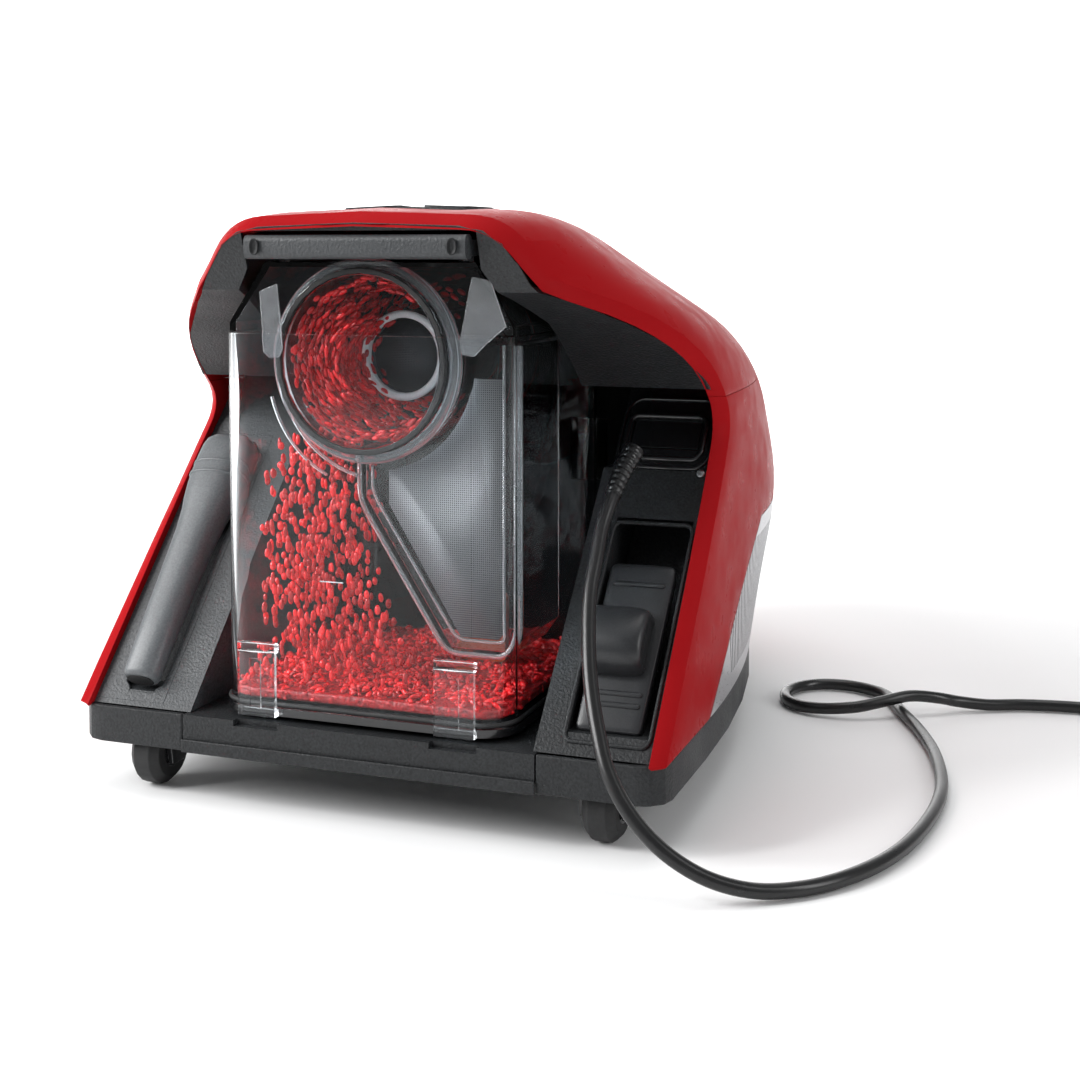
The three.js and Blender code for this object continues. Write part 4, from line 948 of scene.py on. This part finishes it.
def make_tool_surround():
    """Panel face that closes round the crevice tool, with a close-fitting sunk opening."""
    heights = [54.5, 56.2] + [58 + 4.5 * k for k in range(25)] + [172.6, 174]
    verts, faces = [], []
    for z in [50, *heights, 178]:
        x, half = tool_half(z)
        room = 1.4
        if z < 57:
            half, room = half - 2.5 + (z - 54.5) * 0.6, 1.2
        if z > 171:
            half, room = half + (172.6 - z) * 1.5, 1.4
        for px in (-153, x - half - room, x + half + room, -111):
            verts.append(on_slant(px, z, -3.95) * MM)
    rows = len(verts) // 4
    for face in grid_faces(rows, 4):
        row, col = divmod(face[0], 4)
        if col != 1 or row in (0, rows - 2):
            faces.append(face)
    cover = add_mesh("tool_surround", verts, faces, PANEL_PAINTED_LIGHT, "body", smooth=False)
    wall = cover.modifiers.new("wall", "SOLIDIFY")
    wall.thickness = 0.003
    wall.offset = -1 if cover.data.polygons[0].normal.dot(OUTWARD) > 0 else 1
    soften(cover, 0.0008, 3, 40)


def make_nozzle():
    """Flat upholstery tool with a short round-backed connection lying across it."""
    plate_stations = [
        (59, 14.5, 2.4), (59.6, 15.6, 3.1), (61, 16.3, 3.5), (90, 16.8, 3.5), (122, 17.3, 3.5),
        (125, 17.0, 3.5), (126.4, 16.0, 3.1), (127, 14.6, 2.4),
    ]
    rings = [slant_ring(z, 127.5, -8, w, d, 6) for z, w, d in plate_stations]
    plate = skin(rings, "nozzle_plate", NOZZLE, "upholstery_nozzle")
    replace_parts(plate, "upholstery_nozzle")
    stations = [
        (109.2, 0.80), (109.6, 0.88), (110.6, 0.95), (112.5, 0.99), (118, 1.0), (126, 1.0), (132, 0.985),
        (135.5, 0.96), (137.6, 0.92), (138.8, 0.86), (139.4, 0.78), (139.5, 0.70), (138.9, 0.66),
        (138.7, 0.30),
    ]
    rings = []
    for x, size in stations:
        middle = on_slant(x, 93, -2.5)
        ring = []
        for up, out in turns(36):
            reach = 15.5 * (1 - 0.16 * max(0, out) * (0.5 + up))
            u = 17.5 * rooted(up, 0.86)
            o = reach * rooted(out, 0.86)
            ring.append((middle + ALONG * u * size + OUTWARD * o * size) * MM)
        rings.append(ring)
    skin(rings, "nozzle_neck", NOZZLE, "upholstery_nozzle")
    for k, z in enumerate((68, 72.5, 117)):
        steps = ((0, 0.6), (0.5, 0), (1.3, 0), (1.8, 0.6))
        rib = [slant_ring(z + dz, 127.5, -4.4, 13.5 - g, 0.7 - g * 0.3, 4, 20) for dz, g in steps]
        skin(rib, f"nozzle_rib_{k}", NOZZLE, "upholstery_nozzle")


def loop_tube(name, path, radius, material, body, normal, sides=10):
    """Closed ring of round section along a flat closed path."""
    n = len(path)
    verts = []
    for i, point in enumerate(path):
        ahead = (path[(i + 1) % n] - path[i - 1]).normalized()
        side = ahead.cross(normal).normalized()
        verts.extend(point + side * c * radius + normal * s * radius for c, s in turns(sides))
    add_mesh(name, verts, grid_faces(n, sides, True, True), material, body)


def slant_loop(x0, x1, z0, z1, r, lift, steps=6):
    return [on_slant(x, z, lift) * MM for x, z in rounded_outline(x0, x1, z0, z1, r, steps)]


def make_outlet_trim():
    rims = (
        # outline, corner radius, lift, tube radius
        ("slot_rim", (102.5, 145.5, 174.6, 195.4), 5, -3.6, 0.0017, BLACK, "black_gloss"),
        ("basin_rim", (99.5, 150.5, 170.5, 204), 9, -3.9, 0.0012, BLACK, "black_gloss"),
        ("pocket_rim", (107.4, 149.6, 53.4, 144.6), 4, -4.0, 0.0011, DARK, "dark_textured"),
    )
    for name, outline, r, lift, radius, material, slot in rims:
        loop_tube(name, slant_loop(*outline, r, lift), radius, material, "body", OUTWARD)
    for k, (x, z) in enumerate(((147.5, 168.6), (148.0, 207.0))):
        profile = [(0, 0.2), (1.7, 0.2), (2.2, 0.0), (2.3, -0.4), (2.3, -1.2), (0, -1.2)]
        centre = on_slant(x, z, -3.4) * MM
        lathe(f"panel_screw_{k}", profile, centre, OUTWARD, 18, STEEL, "body")


make_crevice_tool()
make_tool_surround()
make_nozzle()
make_outlet_trim()


# ---------------------------------------------------------------- granules in the bin
DRUM_X, DRUM_Z = -5, 227
DRUM_SIDES = 96
BEAD = bmesh.new()
bmesh.ops.create_icosphere(BEAD, subdivisions=2, radius=1)
BEAD_VERTS = [v.co.copy() for v in BEAD.verts]
BEAD_FACES = [[v.index for v in f.verts] for f in BEAD.faces]
BEAD.free()


def beads(name, items):
    """One mesh of bean-shaped granules, each (place, direction, half length, half width) in mm."""
    verts, faces = [], []
    for place, direction, long, wide in items:
        along = Vector(direction).normalized()
        side = along.orthogonal().normalized()
        other = along.cross(side)
        spin = rng.uniform(0, math.pi)
        a = side * math.cos(spin) + other * math.sin(spin)
        b = along.cross(a)
        squeeze = rng.uniform(0.7, 1.0)
        dent = rng.uniform(-0.12, 0.12)
        base = len(verts)
        for v in BEAD_VERTS:
            bow = dent * long * (1 - v.x * v.x)
            p = Vector(place) + along * v.x * long + a * (v.y * wide + bow) + b * v.z * wide * squeeze
            verts.append(p * MM)
        faces.extend([base + i for i in f] for f in BEAD_FACES)
    return add_mesh(name, verts, faces, GRANULE, "dust_bin")


def swirl():
    """Granules that turn about the drum's axis, thinned out over the vortex ring."""
    items = []
    while len(items) < 1500:
        angle = math.radians(rng.triangular(48, 325, 215))
        radius = 43.5 - 25 * rng.random() ** 1.5
        y = -213 + 100 * rng.random() ** 1.4
        if y < -163 or radius > 27:
            c, s = math.cos(angle), math.sin(angle)
            place = (DRUM_X + c * (radius - 1.6), y, DRUM_Z + s * (radius - 1.6))
            heading = (-s + rng.uniform(-0.15, 0.15), rng.uniform(-0.2, 0.3), c + rng.uniform(-0.15, 0.15))
            over_ring = radius < 37 and y < -150 and not 112 < math.degrees(angle) < 248
            if math.hypot(place[0] - DRUM_X, place[2] - DRUM_Z) < 42.2 and not over_ring:
                items.append((place, heading, rng.uniform(2.0, 3.6), rng.uniform(0.9, 1.4)))
    return items


def curtain():
    """Granules below the drum, on their way to the heap."""
    items = []
    while len(items) < 760:
        t = rng.random() ** 0.8
        z = 184 - 118 * t
        low, high = -60 - 1 * t, -24 + 52 * t**1.3
        x = low + (high - low) * rng.random() ** (1.1 + 0.4 * t)
        y = rng.uniform(-229, -160)
        if math.hypot(x - DRUM_X, z - DRUM_Z) < 52 or (x > -14 and z > 70 and y > -210):
            continue
        lean = rng.uniform(-0.12, 0.3) * t
        heading = (lean, rng.uniform(-0.1, 0.1), -1)
        items.append(((x, y, z), heading, rng.uniform(1.9, 3.3), rng.uniform(1.15, 1.7)))
    return items


def in_bin(x, y, room):
    """Whether a place lies inside the bin's rounded outline, with some room left."""
    across, behind = max(0, abs(x) - 61), max(0, -218 - y)
    return math.hypot(across, behind) < 15.3 - room


def heap():
    """Granules on top of and round the bed, with a gently wavy surface."""
    items = []
    while len(items) < 2400:
        x, y = rng.uniform(-75, 75), rng.uniform(-233, -88)
        if not in_bin(x, y, 1.8):
            continue
        top = 61.5 + 1.6 * math.sin(x * 0.09 + 1) + 1.2 * math.sin(x * 0.21 + y * 0.13)
        deep = 0.0 if in_bin(x, y, 6) else rng.random() ** 1.2
        z = top - deep * (top - 56.2) + rng.uniform(-1.5, 1.2)
        direction = (rng.uniform(-1, 1), rng.uniform(-1, 1), rng.uniform(-0.4, 0.4))
        items.append(((x, y, max(z, 56.4)), direction, rng.uniform(1.8, 3.0), rng.uniform(1.1, 1.7)))
    return items


beads("granules_swirl", swirl())
beads("granules_falling", curtain())
bed = cutter("granules_bed", rounded_outline(-75, 75, -232.4, -86, 14), "Z", 55.2, 60.2)
finish_piece(bed, BED, "dust_bin")
soften(bed, 0.0015, 3, 40)
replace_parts(beads("granules_heap", heap()), "granule_heap")


# ---------------------------------------------------------------- clear mouldings and small parts
def front_ring(name, profile, material, y=-218):
    """Ring turned about the drum's axis; profile is (radius, distance towards the back) in mm."""
    centre = Vector((DRUM_X, y, DRUM_Z)) * MM
    return lathe(name, profile, centre, (0, 1, 0), DRUM_SIDES, material, "dust_bin")


def make_drum_details():
    lip = [(47.4, 1), (51.0, 1.6), (52.2, 3.4), (52.0, 6.4), (50.2, 7.6), (48.6, 7.6), (47.4, 6.4)]
    # The drum lip and spiral lips take the pale clear material as a painted highlight.
    front_ring("drum_lip", lip, EDGE_PAINTED_HIGHLIGHT)
    shadow_line = [(44.9, -1.6), (46.6, -2.4), (47.2, -1.8), (47.0, -0.8), (45.2, -0.8)]
    front_ring("drum_shade", shadow_line, RUBBER)
    tube_lip = [(19.9, -4.4), (21.2, -5.4), (22.8, -5.4), (23.9, -4.2), (23.9, -3.4), (20.0, -3.4)]
    front_ring("tube_lip", tube_lip, WHITE, -165)
    path = []
    for k in range(40):
        a = math.radians(190 + 75 * k / 39)
        r = 49.5 + 9 * (k / 39) ** 1.5
        path.append(Vector((DRUM_X + r * math.cos(a), -214, DRUM_Z + r * math.sin(a))) * MM)
    tube_mesh("spiral_lip_0", path, lambda t: 0.0011, 12, EDGE_PAINTED_HIGHLIGHT, "dust_bin")
    path = [p - Vector((0.004, 0.004, 0.004)) for p in path[4:34]]
    tube_mesh("spiral_lip_1", path, lambda t: 0.0009, 12, EDGE_PAINTED_HIGHLIGHT, "dust_bin")


def chamber_edge(inset, y):
    right = 75.0 - inset
    points = [
        (-12 + inset, 181 - inset), (-12 + inset, 155 + inset * 0.6), (36 + inset * 0.8, 80 + inset),
        (68, 80 + inset), (right, 90 + inset), (right, 236),
    ]
    return [Vector((x, y, z)) * MM for x, z in points]


def rounded_path(points, radius, steps=5):
    path = [points[0]]
    for a, b, c in zip(points, points[1:], points[2:]):
        path.extend(rounded(a, b, c, radius, steps))
    path.append(points[-1])
    return path


def make_bin_details():
    outer = rounded_path(chamber_edge(0.5, -208.2), 0.008)
    # The chamber beads take the pale clear material as a painted highlight.
    tube_mesh("chamber_bead_outer", outer, lambda t: 0.0014, 12, EDGE_PAINTED_HIGHLIGHT, "dust_bin")
    inner = rounded_path(chamber_edge(7.5, -207.6), 0.006)
    tube_mesh("chamber_bead_inner", inner, lambda t: 0.0009, 10, EDGE_PAINTED_HIGHLIGHT, "dust_bin")
    foot = [Vector((x, y, 53.5)) * MM for x, y in rounded_outline(-79.3, 79.3, -236.3, -80, 18, 8)]
    loop_tube("bin_foot_seal", foot, 0.0012, RUBBER, "dust_bin", Vector((0, 0, 1)))
    low, high = (-0.0215, -0.2337, 0.1172), (-0.0085, -0.2331, 0.1178)
    rounded_box("fill_line", low, high, 0.0001, PRINT, "dust_bin", 1)
    mark = (
        # y, half width, half height
        (-240.2, 2.2, 3.8), (-241.3, 2.6, 4.2), (-241.5, 2.2, 3.8), (-240.9, 1.6, 3.1), (-240.8, 0.8, 2.0),
    )
    for side in (-1, 1):
        rings = []
        for y, half_x, half_z in mark:
            ring = superellipse(half_x, half_z, side * 53.5, 284.6, 2.4, 24)
            rings.append([Vector((x, y, z)) * MM for x, z in ring])
        skin(rings, f"handle_mark_{side + 1}", LINER, "box_handle")
    tabs = (
        [(-60, 262), (-50, 266), (-46.5, 233), (-48.5, 228.6), (-54, 228), (-57.5, 231)],
        [(67, 268), (57, 270), (50.5, 238), (52, 232), (58, 231), (64, 237), (75, 246)],
    )
    for k, outline in enumerate(tabs):
        tab = cutter(f"lid_tab_{k}", outline, "Y", -225.2, -223.4)
        # The lid tabs take the pale clear material as a painted highlight.
        finish_piece(tab, EDGE_PAINTED_HIGHLIGHT, "dust_bin")
        soften(tab, 0.0006, 2, 25)


def make_chamber_screen():
    reach = 56.5
    angles = [math.radians(a) for a in range(-80, -6, 4)]
    below_drum = [(DRUM_X + reach * math.cos(a), DRUM_Z + reach * math.sin(a)) for a in angles]
    outline = [*below_drum, (67, 219), (68, 93), (64, 89), (44, 89), (4.5, 154)]
    net = cutter("chamber_net", outline, "Y", -207.4, -206.5)
    finish_piece(net, MESH_FINE, "dust_bin")
    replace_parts(net, "chamber_screen")


make_drum_details()
make_bin_details()
make_chamber_screen()


# ---------------------------------------------------------------- base and wheels
def make_pan_step():
    low, high = (-0.0965, -0.2447, 0.0258), (0.0965, -0.2434, 0.0325)
    rounded_box("pan_step", low, high, 0.0006, DARK, "body", 2)


CASTER_PLACES = ((-125, -209), (125, -209), (-58, 133), (58, 133))
HUB_RELIEF = 0.3
WHEEL_TRAIL, WHEEL_HALF, WHEEL_RADIUS = 11, 8.3, 18


def make_wheel_trim():
    """Stepped hub caps on both faces of every wheel."""
    profile = [
        (3.4, 0), (3.4, 0.9), (6, 1.2), (8.5, 0.9), (9.5, 0.1), (12.5, 0.0), (13.2, 0.25), (13.4, -0.2),
        (3.4, -0.2),
    ]
    cap = [(r, a * HUB_RELIEF) for r, a in profile]
    for where, (x, y) in zip(WHEELS, CASTER_PLACES):
        for side in (-1, 1):
            centre = Vector((x + side * WHEEL_HALF, y - WHEEL_TRAIL, WHEEL_RADIUS)) * MM
            name = f"hub_{where}_{side + 1}"
            lathe(name, cap, centre, (side, 0, 0), 32, BLACK, f"wheel_{where}")


make_pan_step()
make_wheel_trim()


# ---------------------------------------------------------------- floor, light
def make_stage():
    """White paper sweep: a floor that curves up into a wall behind the object."""
    heading = math.radians(CAMERA_YAW)
    ahead = Vector((-math.sin(heading), math.cos(heading), 0))
    across = Vector((math.cos(heading), math.sin(heading), 0))
    bend_start, bend_radius = 2.2, 1.2
    rows = [(-4.0, 0), (-1.0, 0), (1.2, 0), (bend_start, 0)]
    for k in range(1, 16):
        a = math.radians(6 * k)
        rows.append((bend_start + bend_radius * math.sin(a), bend_radius * (1 - math.cos(a))))
    rows.append((bend_start + bend_radius, 5.0))
    verts = []
    for along, up in rows:
        for side in (-5, 5):
            verts.append(ahead * along + across * side + Vector((0, 0, up - 0.0002)))
    mesh = bpy.data.meshes.new("floor")
    mesh.from_pydata([tuple(v) for v in verts], [], grid_faces(len(rows), 2))
    floor = place_mesh("floor", mesh)
    floor.data.polygons.foreach_set("use_smooth", [True] * len(floor.data.polygons))
    s = Shader("floor_paper")
    s.color(s.noise(2, 3), (0.88, 0.88, 0.88), (0.92, 0.92, 0.92))
    s.set(Roughness=0.8)
    floor.data.materials.append(s.material)


def area_light(name, place, target, size, power, color=(1, 1, 1)):
    data = bpy.data.lights.new(name, "AREA")
    data.shape = "RECTANGLE"
    data.size, data.size_y = size
    data.energy = power
    data.color = color
    light = bpy.data.objects.new(name, data)
    light.location = place
    light.rotation_mode = "QUATERNION"
    light.rotation_quaternion = (Vector(target) - Vector(place)).to_track_quat("-Z", "Y")
    bpy.context.scene.collection.objects.link(light)


def make_light():
    world = bpy.data.worlds.new("studio")
    world.use_nodes = True
    background = world.node_tree.nodes["Background"]
    background.inputs[0].default_value = (0.97, 0.98, 1.0, 1)
    background.inputs[1].default_value = 0.3
    bpy.context.scene.world = world
    area_light("key", (-1.3, -1.3, 1.3), (0, -0.1, 0.15), (0.35, 1.4), 28)
    area_light("fill", (1.7, -0.4, 0.9), (0, 0, 0.15), (0.4, 1.2), 10)
    area_light("left", (-1.5, -0.75, 0.85), (-0.12, -0.15, 0.1), (0.5, 1.0), 24)
    area_light("top", (-0.1, 0.2, 2.0), (0, 0, 0.2), (1.8, 1.4), 17)
    area_light("wall", (-0.9, 1.3, 1.9), (-1.1, 3.1, 0.7), (2.4, 1.0), 120)


make_stage()
make_light()
bpy.context.scene.view_settings.view_transform = "Standard"
